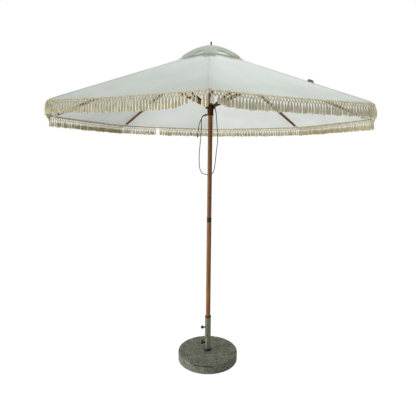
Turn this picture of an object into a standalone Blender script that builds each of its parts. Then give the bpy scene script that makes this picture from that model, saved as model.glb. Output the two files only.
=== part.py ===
"""Patio umbrella with eight wooden ribs, a vented cloth canopy with a tasselled fringe, and a round stone base.

Metres, +Z up. The origin is on the floor under the pole, and the first rib points to -Y.
The umbrella is open. Each rib turns at the top hub, its stretcher turns at a bracket under the rib, and the
runner slides down the pole as the ribs close.
"""

import math

import bmesh
import bpy
from mathutils import Matrix, Vector, geometry

# Gaps left between pieces that touch
CLEARANCE = 0.0003
SEAM_HALF_GAP = 0.0005

# Canopy
RIB_COUNT = 8
CANOPY_RADIUS = 1.25
HEM_HEIGHT = 2.019
RIB_SLOPE = math.radians(21.8)
VENT_RADIUS = 0.165
CLOTH_THICKNESS = 0.0015
PANEL_SAG = 0.010
PANEL_SAG_SHARE_AT_VENT = 0.25
HEM_INSET = 0.012
PANEL_HINGE_DROP = 0.068
PANEL_COLUMNS = 6
PANEL_ROWS = 5

# Vent cap over the opening
CAP_RADIUS = 0.298
CAP_RISE = 0.037
CAP_TOP_SLOPE = 0.23
CAP_CORNER_LIFT = 0.0145
CAP_SCALLOP_APOTHEM = 0.190
CAP_TONGUE_START = 0.36
CAP_TONGUE_END = 0.68
CAP_HEM_DROP = 0.010
CAP_HEM_FLARE = 0.002
CAP_HOLE_RADIUS = 0.0075
CAP_COLUMNS = 6
CAP_ROWS = 4

# Fringe below the hem
FRINGE_LENGTH = 0.088
FRINGE_BAND_DROP = 0.034
FRINGE_FLARE = 0.022
FRINGE_TIP_FLARE = 0.025
FRINGE_THICKNESS = 0.004
FRINGE_GAP = 0.0013
FRINGE_END_GAP = 0.002
TASSELS_PER_EDGE = 18
TASSEL_SHARE = 0.72

# Ribs
PIVOT_RADIUS = 0.031
RIB_EYE_RADIUS = 0.009
RIB_CANOPY_GAP = 0.00085
RIB_HALF_WIDTH = 0.007
RIB_TENON_HALF_WIDTH = 0.0045
RIB_TENON_LENGTH = 0.030
RIB_SHOULDER = 0.015
RIB_ROOT_DROP = 0.016
RIB_ROOT_AT = 0.10
RIB_TIP_DROP = 0.007
RIB_TIP_MARGIN = 0.006
RIB_TOP_FLAT = 0.0025
RIB_TOP_FALL = 0.002
RIB_EDGE_BEVEL = 0.001
RIB_EYE_HOLE = 0.0024

# Brackets under the ribs
BRACKET_REACH = 0.46
BRACKET_DROP = 0.028
BRACKET_HALF_LENGTH = 0.022
BRACKET_PLATE = 0.002
BRACKET_CHEEK = 0.002
BRACKET_LIP = 0.001
BRACKET_NOSE_RADIUS = 0.0072
BRACKET_PIN_RADIUS = 0.0025
BRACKET_PIN_HEAD = 0.001

# Stretchers
STRETCHER_HALF_WIDTH = 0.006
STRETCHER_HALF_DEPTH = 0.009
STRETCHER_EYE_RADIUS = 0.0075
STRETCHER_TENON_HALF_WIDTH = 0.0045
STRETCHER_TENON_LENGTH = 0.030
STRETCHER_SHOULDER = 0.015
STRETCHER_SIDE_GAP = 0.0004

# Wire rings that the rib and stretcher eyes turn on
WIRE_RADIUS = 0.0016
WIRE_GAP = 0.0003

# Top hub
HUB_RADIUS = 0.040
HUB_SKIRT = 0.016
HUB_PLATE = 0.009
HUB_BOSS_ROOT_RADIUS = 0.030
HUB_BOSS_TOP_RADIUS = 0.014
HUB_BOSS_SINK = 0.0008
SLOT_SIDE_GAP = 0.0004

# Finial
FINIAL_RADIUS = 0.006
FINIAL_FLANGE_RADIUS = 0.010
FINIAL_FLANGE = 0.002
FINIAL_HEIGHT = 0.0256
FINIAL_STUD_RADIUS = 0.004
FINIAL_STUD_LENGTH = 0.020

# Runner
RUNNER_BORE_GAP = 0.0008
RUNNER_CROWN_RADIUS = 0.040
RUNNER_CROWN_TOP = 0.0115
RUNNER_FLOOR = 0.008
RUNNER_NECK_RADIUS = 0.0235
RUNNER_NECK_LENGTH = 0.053
RUNNER_BEAD_RADIUS = 0.0262
RUNNER_BEAD_HEIGHT = 0.009
RUNNER_FLARE_RADIUS = 0.030
RUNNER_FLARE_HEIGHT = 0.010

# Peg that the pull cord is hitched to
PEG_RADIUS = 0.003
PEG_HEAD_RADIUS = 0.005
PEG_HEAD_LENGTH = 0.003
PEG_REACH = 0.027
PEG_ABOVE_RUNNER_FOOT = 0.0055

# Pole in two lengths
LOWER_POLE_RADIUS = 0.019
UPPER_POLE_RADIUS = 0.018
POLE_DOWEL_RADIUS = 0.0155
POLE_DOWEL_RISE = 0.006
FERRULE_FOOT_HEIGHT = 1.185
FERRULE_BAND_HEIGHT = 0.036
FERRULE_BAND_RADIUS = 0.0195
SPIGOT_RADIUS = 0.011
SPIGOT_LENGTH = 0.080

# Pulley in the pole head
PULLEY_RADIUS = 0.0125
PULLEY_HALF_WIDTH = 0.004
PULLEY_GROOVE_DEPTH = 0.003
PULLEY_SIDE_GAP = 0.001
PULLEY_SLOT_MARGIN = 0.0075
PULLEY_BELOW_HUB = 0.036
AXLE_RADIUS = 0.0025

# Base
SLAB_RADIUS = 0.250
SLAB_HEIGHT = 0.074
SLAB_EDGE = 0.005
GRIP_FALL = 0.008
GRIP_HEIGHT = 0.009
GRIP_DEPTH = 0.010
GRIP_START = math.radians(-116)
GRIP_END = math.radians(-82)
TUBE_RADIUS = 0.025
TUBE_WALL = 0.0025
TUBE_TOP = 0.369
TUBE_PLATE_RADIUS = 0.060
TUBE_PLATE = 0.005
TUBE_PLATE_LIFT = 0.0005
FOOT_COLLAR_RADIUS = 0.0295
FOOT_COLLAR_HEIGHT = 0.014
FOOT_COLLAR_SLOPE = 0.002
COLLAR_RADIUS = 0.0258
COLLAR_HEIGHT = 0.012
COLLAR_SLEEVE = 0.030

# Clamp screws in the tube
SCREW_RADIUS = 0.004
NUT_RADIUS = 0.009
NUT_REACH = 0.031
KNOB_GAP = 0.003
UPPER_SCREW_HEIGHT = 0.277
UPPER_KNOB_RADIUS = 0.0135
UPPER_KNOB_LENGTH = 0.027
LOWER_SCREW_HEIGHT = 0.142
LOWER_KNOB_RADIUS = 0.0175
LOWER_KNOB_LENGTH = 0.022
LOWER_KNOB_LOBES = 5
LOWER_KNOB_LOBE_DEPTH = 0.0025

# Tie strap sewn over the second rib
STRAP_RADIUS_FROM_POLE = 0.87
STRAP_LENGTH = 0.048
STRAP_HEIGHT = 0.014
STRAP_HALF_WIDTH = 0.002
STRAP_END_SLANT = 0.010

# Pull cord, as points of its route, with heights from the peg
CORD_RADIUS = 0.003
CORD_STEP = 0.022
CORD_START_RADIUS = 0.0375
CORD_START_GAP = 0.0006
CORD_PEG_GAP = 0.0012
LOOP_ROUTE = [
    (0.0405, 0.001, 0.0326),
    (0.0452, 0.002, 0.0126),
    (0.0495, 0.005, -0.0360),
    (0.0545, 0.008, -0.0900),
    (0.0595, 0.012, -0.1640),
    (0.0580, 0.014, -0.2200),
    (0.0500, 0.015, -0.2970),
    (0.0430, 0.017, -0.3700),
    (0.0370, 0.019, -0.4170),
    (0.0285, 0.023, -0.4490),
    (0.0120, 0.027, -0.4670),
    (-0.0110, 0.028, -0.4700),
    (-0.0360, 0.025, -0.4670),
    (-0.0580, 0.020, -0.4590),
    (-0.0740, 0.015, -0.4390),
    (-0.0825, 0.011, -0.4050),
    (-0.0855, 0.008, -0.3490),
    (-0.0825, 0.005, -0.2700),
    (-0.0745, 0.001, -0.1850),
    (-0.0695, 0.000, -0.1200),
    (-0.0700, 0.000, -0.0620),
    (-0.0690, 0.000, -0.0310),
    (-0.0625, 0.000, -0.0130),
    (-0.0520, 0.000, -0.0045),
    (-0.0410, 0.000, -0.0015),
]
TAIL_SIDE = 0.0043
TAIL_DROP = 0.0052
TAIL_ROUTE = [
    (-0.0410, -0.0055, -0.0070),
    (-0.0520, -0.0066, -0.0105),
    (-0.0615, -0.0072, -0.0180),
    (-0.0690, -0.0078, -0.0300),
    (-0.0745, -0.0078, -0.0430),
    (-0.0820, -0.0078, -0.0600),
    (-0.0890, -0.0080, -0.0840),
    (-0.0930, -0.0080, -0.1200),
    (-0.0980, -0.0080, -0.1650),
]

# Facets
TURN_STEPS = 32
SLAB_STEPS = 48
SMALL_STEPS = 16
WIRE_STEPS = 6
EYE_STEPS = 2
ARC_STEPS = 3
HOLE_STEPS = 12
WELD = 0.000001
SMOOTH_ANGLE = math.radians(35)
CUT_MARGIN = 0.010

# Sizes that follow from the ones above
HALF_ANGLE = math.pi / RIB_COUNT
SLOPE_TAN = math.tan(RIB_SLOPE)
SLOPE_COS = math.cos(RIB_SLOPE)
CANOPY_APEX = HEM_HEIGHT + CANOPY_RADIUS * SLOPE_TAN
PANEL_SLOPE_TAN = SLOPE_TAN / math.cos(HALF_ANGLE)
VENT_APOTHEM = VENT_RADIUS * math.cos(HALF_ANGLE)
HEM_APOTHEM = CANOPY_RADIUS * math.cos(HALF_ANGLE)
RIB_TOP_DEPTH = CLOTH_THICKNESS + RIB_CANOPY_GAP
HUB_PIVOT_HEIGHT = CANOPY_APEX - PIVOT_RADIUS * SLOPE_TAN - (RIB_TOP_DEPTH + RIB_EYE_RADIUS) / SLOPE_COS
RIB_TIP_RADIUS = CANOPY_RADIUS - RIB_TIP_MARGIN
RIB_LENGTH = (RIB_TIP_RADIUS - PIVOT_RADIUS - RIB_EYE_RADIUS * math.sin(RIB_SLOPE)) / SLOPE_COS
STRETCHER_LENGTH = math.hypot(BRACKET_REACH, BRACKET_DROP)
ARM_ANGLE = RIB_SLOPE + math.atan2(BRACKET_DROP, BRACKET_REACH)
RUNNER_PIVOT_HEIGHT = HUB_PIVOT_HEIGHT - 2 * STRETCHER_LENGTH * math.sin(ARM_ANGLE)
PANEL_HINGE_HEIGHT = HUB_PIVOT_HEIGHT - PANEL_HINGE_DROP
CAP_APEX_HEIGHT = CANOPY_APEX + CAP_RISE
CAP_CORNER_HEIGHT = CANOPY_APEX - CAP_RADIUS * SLOPE_TAN + CAP_CORNER_LIFT
CAP_BEND = (CAP_APEX_HEIGHT - CAP_CORNER_HEIGHT - CAP_TOP_SLOPE * CAP_RADIUS) / CAP_RADIUS**2
CAP_CORNER_DROP = CAP_CORNER_LIFT - CAP_HEM_FLARE * SLOPE_TAN - CLEARANCE / SLOPE_COS
CAP_CORNER_APOTHEM = CAP_RADIUS * math.cos(HALF_ANGLE)
BRACKET_INNER_HALF = STRETCHER_HALF_WIDTH + STRETCHER_SIDE_GAP
BRACKET_OUTER_HALF = BRACKET_INNER_HALF + BRACKET_CHEEK
STRETCHER_PIN_HOLE = BRACKET_PIN_RADIUS + CLEARANCE
WIRE_GROOVE_HALF = WIRE_RADIUS + WIRE_GAP
SLOT_HALF_WIDTH = RIB_TENON_HALF_WIDTH + SLOT_SIDE_GAP
RUNNER_SLOT_HALF_WIDTH = STRETCHER_TENON_HALF_WIDTH + SLOT_SIDE_GAP
HUB_FOOT = HUB_PIVOT_HEIGHT - HUB_SKIRT
HUB_SLOT_TOP = HUB_PIVOT_HEIGHT + RIB_EYE_RADIUS + CLEARANCE
HUB_PLATE_TOP = HUB_SLOT_TOP + HUB_PLATE
HUB_BOSS_DEPTH = CLOTH_THICKNESS / math.cos(math.atan(CAP_TOP_SLOPE)) + HUB_BOSS_SINK
POLE_DOWEL_TOP = HUB_PIVOT_HEIGHT + POLE_DOWEL_RISE
POLE_SHOULDER = HUB_FOOT - CLEARANCE
PULLEY_HEIGHT = HUB_PIVOT_HEIGHT - PULLEY_BELOW_HUB - HUB_SKIRT
RUNNER_CROWN_FOOT = RUNNER_PIVOT_HEIGHT - STRETCHER_EYE_RADIUS - CLEARANCE - RUNNER_FLOOR
RUNNER_FOOT = RUNNER_CROWN_FOOT - RUNNER_NECK_LENGTH
RUNNER_BORE = UPPER_POLE_RADIUS + RUNNER_BORE_GAP
PEG_HEIGHT = RUNNER_FOOT + PEG_ABOVE_RUNNER_FOOT
FERRULE_TOP_HEIGHT = FERRULE_FOOT_HEIGHT + FERRULE_BAND_HEIGHT
SPIGOT_HOLE = SPIGOT_RADIUS + CLEARANCE
TUBE_BORE = TUBE_RADIUS - TUBE_WALL
TUBE_FLOOR = TUBE_PLATE_LIFT + TUBE_PLATE
FOOT_COLLAR_FOOT = SLAB_HEIGHT + CLEARANCE
SCREW_TIP_REACH = LOWER_POLE_RADIUS + CLEARANCE


def clear_scene():
    for obj in list(bpy.data.objects):
        bpy.data.objects.remove(obj, do_unlink=True)


def make_material(name, color, roughness, metallic=0.0):
    material = bpy.data.materials.new(name)
    material.use_nodes = True
    shader = material.node_tree.nodes["Principled BSDF"]
    shader.inputs["Base Color"].default_value = (*color, 1.0)
    shader.inputs["Roughness"].default_value = roughness
    shader.inputs["Metallic"].default_value = metallic
    material.diffuse_color = (*color, 1.0)
    return material


def make_mesh(name, bm, material):
    mesh = bpy.data.meshes.new(name)
    bm.to_mesh(mesh)
    bm.free()
    mesh.materials.append(material)
    mesh.shade_smooth()
    mesh.set_sharp_from_angle(angle=SMOOTH_ANGLE)
    return mesh


def add_object(name, data, parent=None, place=None):
    obj = bpy.data.objects.new(name, data)
    bpy.context.scene.collection.objects.link(obj)
    obj.parent = parent
    obj.matrix_basis = place or Matrix()
    return obj


def add_axis(name, parent=None, place=None):
    axis = add_object(name, None, parent, place)
    axis.empty_display_size = 0.05
    return axis


def azimuth(index):
    return math.radians(-90) + index * 2 * HALF_ANGLE


def around_pole(angle, radius, height):
    return Matrix.Rotation(angle, 4, "Z") @ Matrix.Translation((radius, 0.0, height))


def turned(profile, steps=TURN_STEPS, closed=False):
    bm = bmesh.new()
    points = [bm.verts.new((radius, 0.0, height)) for radius, height in profile]
    pairs = list(zip(points, points[1:]))
    if closed:
        pairs.append((points[-1], points[0]))
    edges = [bm.edges.new(pair) for pair in pairs]
    bmesh.ops.spin(
        bm,
        geom=points + edges,
        cent=(0, 0, 0),
        axis=(0, 0, 1),
        dvec=(0, 0, 0),
        angle=2 * math.pi,
        steps=steps,
        use_merge=True,
    )
    bmesh.ops.remove_doubles(bm, verts=bm.verts[:], dist=WELD)
    bmesh.ops.recalc_face_normals(bm, faces=bm.faces[:])
    return bm


def loft(sections):
    bm = bmesh.new()
    rings = [[bm.verts.new(point) for point in section] for section in sections]
    for first, second in zip(rings, rings[1:]):
        for index, start in enumerate(first):
            after = (index + 1) % len(first)
            bm.faces.new((start, first[after], second[after], second[index]))
    bm.faces.new(rings[0])
    bm.faces.new(rings[-1])
    bmesh.ops.recalc_face_normals(bm, faces=bm.faces[:])
    return bm


def sheet(rows):
    bm = bmesh.new()
    grid = [[bm.verts.new(point) for point in row] for row in rows]
    for inner, outer in zip(grid, grid[1:]):
        for index in range(len(inner) - 1):
            bm.faces.new((inner[index], outer[index], outer[index + 1], inner[index + 1]))
    return bm


def rod(radius, start, end, steps=HOLE_STEPS):
    direction = Vector(end) - Vector(start)
    middle = (Vector(start) + Vector(end)) / 2
    place = Matrix.Translation(middle) @ direction.to_track_quat("Z", "Y").to_matrix().to_4x4()
    bm = bmesh.new()
    bmesh.ops.create_cone(
        bm,
        cap_ends=True,
        segments=steps,
        radius1=radius,
        radius2=radius,
        depth=direction.length,
        matrix=place,
    )
    return bm


def block(low, high):
    middle = (Vector(low) + Vector(high)) / 2
    size = Vector(high) - Vector(low)
    bm = bmesh.new()
    bmesh.ops.create_cube(bm, size=1.0, matrix=Matrix.LocRotScale(middle, None, size))
    return bm


def arc(center_x, center_z, radius, start, end, steps=ARC_STEPS):
    angles = [start + (end - start) * step / steps for step in range(steps + 1)]
    return [(center_x + radius * math.cos(angle), center_z + radius * math.sin(angle)) for angle in angles]


def combine(obj, bm, operation):
    mesh = bpy.data.meshes.new(obj.name + "_tool")
    bm.to_mesh(mesh)
    bm.free()
    tool = add_object(obj.name + "_tool", mesh, obj.parent, obj.matrix_basis.copy())
    tool.hide_render = True
    tool.display_type = "WIRE"
    modifier = obj.modifiers.new(operation.title(), "BOOLEAN")
    modifier.operation = operation
    modifier.solver = "EXACT"
    modifier.object = tool
    return tool


def baked(name, bm, material, tools):
    template = add_object(name, make_mesh(name, bm, material))
    helpers = [combine(template, tool, operation) for tool, operation in tools]
    bpy.context.view_layer.update()
    shaped = template.evaluated_get(bpy.context.evaluated_depsgraph_get())
    mesh = bpy.data.meshes.new_from_object(shaped)
    mesh.name = name
    for helper in [template, *helpers]:
        bpy.data.objects.remove(helper, do_unlink=True)
    return mesh


def add_cloth(name, bm, material, parent, place, thickness, offset):
    cloth = add_object(name, make_mesh(name, bm, material), parent, place)
    solidify = cloth.modifiers.new("Thickness", "SOLIDIFY")
    solidify.thickness = thickness
    solidify.offset = offset
    return cloth


# Canopy

def panel_point(across, along):
    crown = 1 - across**2
    reach = VENT_APOTHEM + along * (HEM_APOTHEM - HEM_INSET * crown - VENT_APOTHEM)
    half_width = reach * math.tan(HALF_ANGLE) - SEAM_HALF_GAP / math.cos(HALF_ANGLE)
    sag = PANEL_SAG * crown * (PANEL_SAG_SHARE_AT_VENT + (1 - PANEL_SAG_SHARE_AT_VENT) * along)
    return Vector((reach, across * half_width, CANOPY_APEX - PANEL_SLOPE_TAN * reach - sag))


def steps_between(low, high, count):
    return [low + (high - low) * step / count for step in range(count + 1)]


def panel_mesh(cloth):
    origin = Vector((0.0, 0.0, PANEL_HINGE_HEIGHT))
    rows = [
        [panel_point(across, along) - origin for across in steps_between(-1, 1, PANEL_COLUMNS)]
        for along in steps_between(0, 1, PANEL_ROWS)
    ]
    return make_mesh("canopy_panel", sheet(rows), cloth)


def fringe_mesh(yarn):
    origin = Vector((HEM_APOTHEM, 0.0, HEM_HEIGHT))
    half_edge = CANOPY_RADIUS * math.sin(HALF_ANGLE) - FRINGE_END_GAP
    pitch = 2 * half_edge / TASSELS_PER_EDGE
    columns = [-half_edge]
    for tassel in range(TASSELS_PER_EDGE):
        middle = -half_edge + (tassel + 0.5) * pitch
        columns.append(middle - TASSEL_SHARE * pitch / 2)
        columns.append(middle + TASSEL_SHARE * pitch / 2)
    columns.append(half_edge)
    bm = bmesh.new()
    grid = []
    for side in columns:
        hem = panel_point(side / half_edge, 1.0) - origin
        hem.y = side
        levels = [
            (FRINGE_GAP, CLOTH_THICKNESS / 2),
            (FRINGE_FLARE, FRINGE_BAND_DROP),
            (FRINGE_TIP_FLARE, FRINGE_LENGTH),
        ]
        grid.append([bm.verts.new(hem + Vector((out, 0.0, -down))) for out, down in levels])
    for index, (left, right) in enumerate(zip(grid, grid[1:])):
        bm.faces.new((left[0], left[1], right[1], right[0]))
        if index % 2 == 1:
            bm.faces.new((left[1], left[2], right[2], right[1]))
    loose = [vertex for vertex in bm.verts if not vertex.link_faces]
    bmesh.ops.delete(bm, geom=loose, context="VERTS")
    return make_mesh("fringe", bm, yarn)


def cap_height(radius):
    return CAP_APEX_HEIGHT - CAP_TOP_SLOPE * radius - CAP_BEND * radius**2


def tongue_share(across):
    share = (abs(across) - CAP_TONGUE_START) / (CAP_TONGUE_END - CAP_TONGUE_START)
    share = min(max(share, 0.0), 1.0)
    return share**2 * (3 - 2 * share)


def cap_point(across, along):
    hole = CAP_HOLE_RADIUS * math.cos(HALF_ANGLE)
    edge = CAP_SCALLOP_APOTHEM + (CAP_CORNER_APOTHEM - CAP_SCALLOP_APOTHEM) * tongue_share(across)
    reach = hole + along * (edge - hole)
    return Vector((reach, across * reach * math.tan(HALF_ANGLE), cap_height(reach / math.cos(HALF_ANGLE))))


def cap_hem_point(across):
    flare = CAP_HEM_FLARE * math.cos(HALF_ANGLE)
    drop = CAP_HEM_DROP + (CAP_CORNER_DROP - CAP_HEM_DROP) * across**6
    return cap_point(across, 1.0) + Vector((flare, across * flare * math.tan(HALF_ANGLE), -drop))


def cap_sheet():
    bm = bmesh.new()
    for index in range(RIB_COUNT):
        turn = Matrix.Rotation(azimuth(index) + HALF_ANGLE, 3, "Z")
        columns = steps_between(-1, 1, CAP_COLUMNS)
        rows = [
            [turn @ cap_point(across, along) for across in columns] for along in steps_between(0, 1, CAP_ROWS)
        ]
        rows.append([turn @ cap_hem_point(across) for across in columns])
        panel = sheet(rows)
        piece = bpy.data.meshes.new("cap_panel")
        panel.to_mesh(piece)
        panel.free()
        bm.from_mesh(piece)
        bpy.data.meshes.remove(piece)
    bmesh.ops.remove_doubles(bm, verts=bm.verts[:], dist=WELD)
    return bm


def add_canopy(pole, cloth, yarn, strap_cloth, ribs):
    panel = panel_mesh(cloth)
    fringe = fringe_mesh(yarn)
    for index in range(RIB_COUNT):
        angle = azimuth(index) + HALF_ANGLE
        hinge = around_pole(angle, 0.0, PANEL_HINGE_HEIGHT)
        piece = add_object(f"canopy_panel_{index + 1}", panel, pole, hinge)
        thickness = piece.modifiers.new("Thickness", "SOLIDIFY")
        thickness.thickness = CLOTH_THICKNESS
        thickness.offset = -1
        hem = Matrix.Translation((HEM_APOTHEM, 0.0, HEM_HEIGHT - PANEL_HINGE_HEIGHT))
        edging = add_object(f"fringe_{index + 1}", fringe, piece, hem)
        thickness = edging.modifiers.new("Thickness", "SOLIDIFY")
        thickness.thickness = FRINGE_THICKNESS
        thickness.offset = 0
    add_cloth("vent_cap", cap_sheet(), cloth, pole, None, CLOTH_THICKNESS, -1)
    add_tie_strap(ribs[1], strap_cloth)


def add_tie_strap(rib, cloth):
    start = (STRAP_RADIUS_FROM_POLE - PIVOT_RADIUS) / SLOPE_COS
    foot = RIB_EYE_RADIUS + RIB_TOP_DEPTH + CLEARANCE
    outline = [
        (start, foot),
        (start + STRAP_LENGTH, foot),
        (start + STRAP_LENGTH, foot + STRAP_HEIGHT / 2),
        (start + STRAP_LENGTH - STRAP_END_SLANT / 2, foot + STRAP_HEIGHT),
        (start + STRAP_END_SLANT, foot + STRAP_HEIGHT),
    ]
    sections = [[(x, side, z) for x, z in outline] for side in (-STRAP_HALF_WIDTH, STRAP_HALF_WIDTH)]
    add_object("tie_strap", make_mesh("tie_strap", loft(sections), cloth), rib)


# Ribs, brackets and stretchers

def bar_section(x, half_width, top, bottom, top_flat, top_fall):
    low = half_width - RIB_EDGE_BEVEL
    return [
        (x, -low, bottom),
        (x, low, bottom),
        (x, half_width, bottom + RIB_EDGE_BEVEL),
        (x, half_width, top - top_fall),
        (x, top_flat, top),
        (x, -top_flat, top),
        (x, -half_width, top - top_fall),
        (x, -half_width, bottom + RIB_EDGE_BEVEL),
    ]


def eye_stations(radius):
    first = math.radians(30)
    angles = [first + (math.pi / 2 - first) * step / EYE_STEPS for step in range(EYE_STEPS + 1)]
    return [(-radius * math.cos(angle), radius * math.sin(angle)) for angle in angles]


def rib_bottom(x):
    share = (x - RIB_ROOT_AT) / (RIB_LENGTH - RIB_ROOT_AT)
    return -RIB_ROOT_DROP + share * (RIB_ROOT_DROP - RIB_TIP_DROP)


def rib_mesh(wood):
    sections = []
    for x, reach in eye_stations(RIB_EYE_RADIUS):
        sections.append(bar_section(x, RIB_TENON_HALF_WIDTH, reach, -reach, RIB_TOP_FLAT, RIB_TOP_FALL))
    shoulder = RIB_TENON_LENGTH + RIB_SHOULDER
    stations = [
        (RIB_TENON_LENGTH, RIB_TENON_HALF_WIDTH, -RIB_EYE_RADIUS),
        (shoulder, RIB_HALF_WIDTH, -RIB_EYE_RADIUS),
        (RIB_ROOT_AT, RIB_HALF_WIDTH, rib_bottom(RIB_ROOT_AT)),
        (RIB_LENGTH, RIB_HALF_WIDTH, rib_bottom(RIB_LENGTH)),
    ]
    for x, half_width, bottom in stations:
        sections.append(bar_section(x, half_width, RIB_EYE_RADIUS, bottom, RIB_TOP_FLAT, RIB_TOP_FALL))
    hole = rod(RIB_EYE_HOLE, (0, -RIB_HALF_WIDTH, 0), (0, RIB_HALF_WIDTH, 0))
    return baked("rib", loft(sections), wood, [(hole, "DIFFERENCE")])


def bracket_mesh(steel):
    top = rib_bottom(BRACKET_REACH - BRACKET_HALF_LENGTH) - CLEARANCE
    foot = top - BRACKET_PLATE
    ends = (BRACKET_REACH - BRACKET_HALF_LENGTH, BRACKET_REACH + BRACKET_HALF_LENGTH)
    nose = arc(BRACKET_REACH, -BRACKET_DROP, BRACKET_NOSE_RADIUS, 0.0, -math.pi, ARC_STEPS + 1)
    lip = foot - BRACKET_LIP
    outline = [(ends[0], top), (ends[1], top), (ends[1], lip), *nose, (ends[0], lip)]
    body = [[(x, side, z) for x, z in outline] for side in (-BRACKET_OUTER_HALF, BRACKET_OUTER_HALF)]
    fork = block(
        (ends[0] - CUT_MARGIN, -BRACKET_INNER_HALF, -BRACKET_DROP - BRACKET_NOSE_RADIUS - CUT_MARGIN),
        (ends[1] + CUT_MARGIN, BRACKET_INNER_HALF, foot),
    )
    reach = BRACKET_OUTER_HALF + BRACKET_PIN_HEAD
    pin = rod(BRACKET_PIN_RADIUS, (BRACKET_REACH, -reach, -BRACKET_DROP), (BRACKET_REACH, reach, -BRACKET_DROP))
    return baked("rib_bracket", loft(body), steel, [(fork, "DIFFERENCE"), (pin, "UNION")])


def stretcher_mesh(wood):
    flat = STRETCHER_HALF_WIDTH - RIB_EDGE_BEVEL
    tenon_flat = STRETCHER_TENON_HALF_WIDTH - RIB_EDGE_BEVEL
    sections = []
    for x, reach in eye_stations(STRETCHER_EYE_RADIUS):
        sections.append(bar_section(x, STRETCHER_HALF_WIDTH, reach, -reach, flat, RIB_EDGE_BEVEL))
    tenon = STRETCHER_LENGTH - STRETCHER_TENON_LENGTH
    stations = [
        (STRETCHER_SHOULDER, STRETCHER_HALF_WIDTH, STRETCHER_EYE_RADIUS, flat),
        (2 * STRETCHER_SHOULDER, STRETCHER_HALF_WIDTH, STRETCHER_HALF_DEPTH, flat),
        (tenon - STRETCHER_SHOULDER, STRETCHER_HALF_WIDTH, STRETCHER_HALF_DEPTH, flat),
        (tenon, STRETCHER_TENON_HALF_WIDTH, STRETCHER_EYE_RADIUS, tenon_flat),
    ]
    for x, half_width, depth, top_flat in stations:
        sections.append(bar_section(x, half_width, depth, -depth, top_flat, RIB_EDGE_BEVEL))
    for back, reach in reversed(eye_stations(STRETCHER_EYE_RADIUS)):
        x = STRETCHER_LENGTH - back
        sections.append(bar_section(x, STRETCHER_TENON_HALF_WIDTH, reach, -reach, tenon_flat, RIB_EDGE_BEVEL))
    side = STRETCHER_HALF_WIDTH + CUT_MARGIN
    pin_hole = rod(STRETCHER_PIN_HOLE, (0, -side, 0), (0, side, 0))
    ring_hole = rod(RIB_EYE_HOLE, (STRETCHER_LENGTH, -side, 0), (STRETCHER_LENGTH, side, 0))
    tools = [(pin_hole, "DIFFERENCE"), (ring_hole, "DIFFERENCE")]
    return baked("stretcher", loft(sections), wood, tools)


def add_ribs(pole, wood, steel):
    rib = rib_mesh(wood)
    bracket = bracket_mesh(steel)
    stretcher = stretcher_mesh(wood)
    lean = Matrix.Rotation(RIB_SLOPE, 4, "Y")
    fold = Matrix.Rotation(math.pi - ARM_ANGLE - RIB_SLOPE, 4, "Y")
    ribs = []
    for index in range(RIB_COUNT):
        hinge = around_pole(azimuth(index), PIVOT_RADIUS, HUB_PIVOT_HEIGHT) @ lean
        arm = add_object(f"rib_{index + 1}", rib, pole, hinge)
        add_object(f"rib_bracket_{index + 1}", bracket, arm)
        elbow = Matrix.Translation((BRACKET_REACH, 0.0, -BRACKET_DROP)) @ fold
        add_object(f"stretcher_{index + 1}", stretcher, arm, elbow)
        ribs.append(arm)
    return ribs


# Hub, runner and what they hold

def radial_slots(inner, outer, half_width, low, high):
    bm = bmesh.new()
    for index in range(RIB_COUNT):
        slot = block((inner, -half_width, low), (outer, half_width, high))
        slot.transform(Matrix.Rotation(azimuth(index), 4, "Z"))
        piece = bpy.data.meshes.new("slot")
        slot.to_mesh(piece)
        slot.free()
        bm.from_mesh(piece)
        bpy.data.meshes.remove(piece)
    return bm


def wire_ring(name, height, parent, steel):
    profile = arc(PIVOT_RADIUS, height, WIRE_RADIUS, 0.0, 2 * math.pi, WIRE_STEPS)[:-1]
    ring = turned(profile, closed=True)
    add_object(name, make_mesh(name, ring, steel), parent)


def cap_underside(radius):
    return cap_height(radius / math.cos(HALF_ANGLE)) - HUB_BOSS_DEPTH


def add_hub(pole, wood, steel):
    groove = (PIVOT_RADIUS - WIRE_GROOVE_HALF, PIVOT_RADIUS + WIRE_GROOVE_HALF)
    groove_top = HUB_PIVOT_HEIGHT + WIRE_GROOVE_HALF
    bore = POLE_DOWEL_RADIUS + CLEARANCE
    bore_top = POLE_DOWEL_TOP + CLEARANCE
    stud_hole = FINIAL_STUD_RADIUS + CLEARANCE
    stud_foot = CAP_APEX_HEIGHT - FINIAL_STUD_LENGTH - CLEARANCE
    profile = [
        (0.0, bore_top),
        (bore, bore_top),
        (bore, HUB_FOOT),
        (groove[0], HUB_FOOT),
        (groove[0], groove_top),
        (groove[1], groove_top),
        (groove[1], HUB_FOOT),
        (HUB_RADIUS, HUB_FOOT),
        (HUB_RADIUS, HUB_SLOT_TOP),
        (HUB_BOSS_ROOT_RADIUS, HUB_PLATE_TOP),
        (HUB_BOSS_TOP_RADIUS, cap_underside(HUB_BOSS_TOP_RADIUS)),
        (stud_hole, cap_underside(stud_hole)),
        (stud_hole, stud_foot),
        (0.0, stud_foot),
    ]
    hub = add_object("top_hub", make_mesh("top_hub", turned(profile), wood), pole)
    slot_inner = PIVOT_RADIUS - RIB_EYE_RADIUS - CLEARANCE
    slots = radial_slots(slot_inner, HUB_RADIUS + CUT_MARGIN, SLOT_HALF_WIDTH, HUB_FOOT - CUT_MARGIN, HUB_SLOT_TOP)
    combine(hub, slots, "DIFFERENCE")
    wire_ring("top_hub_ring", HUB_PIVOT_HEIGHT, pole, steel)


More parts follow.
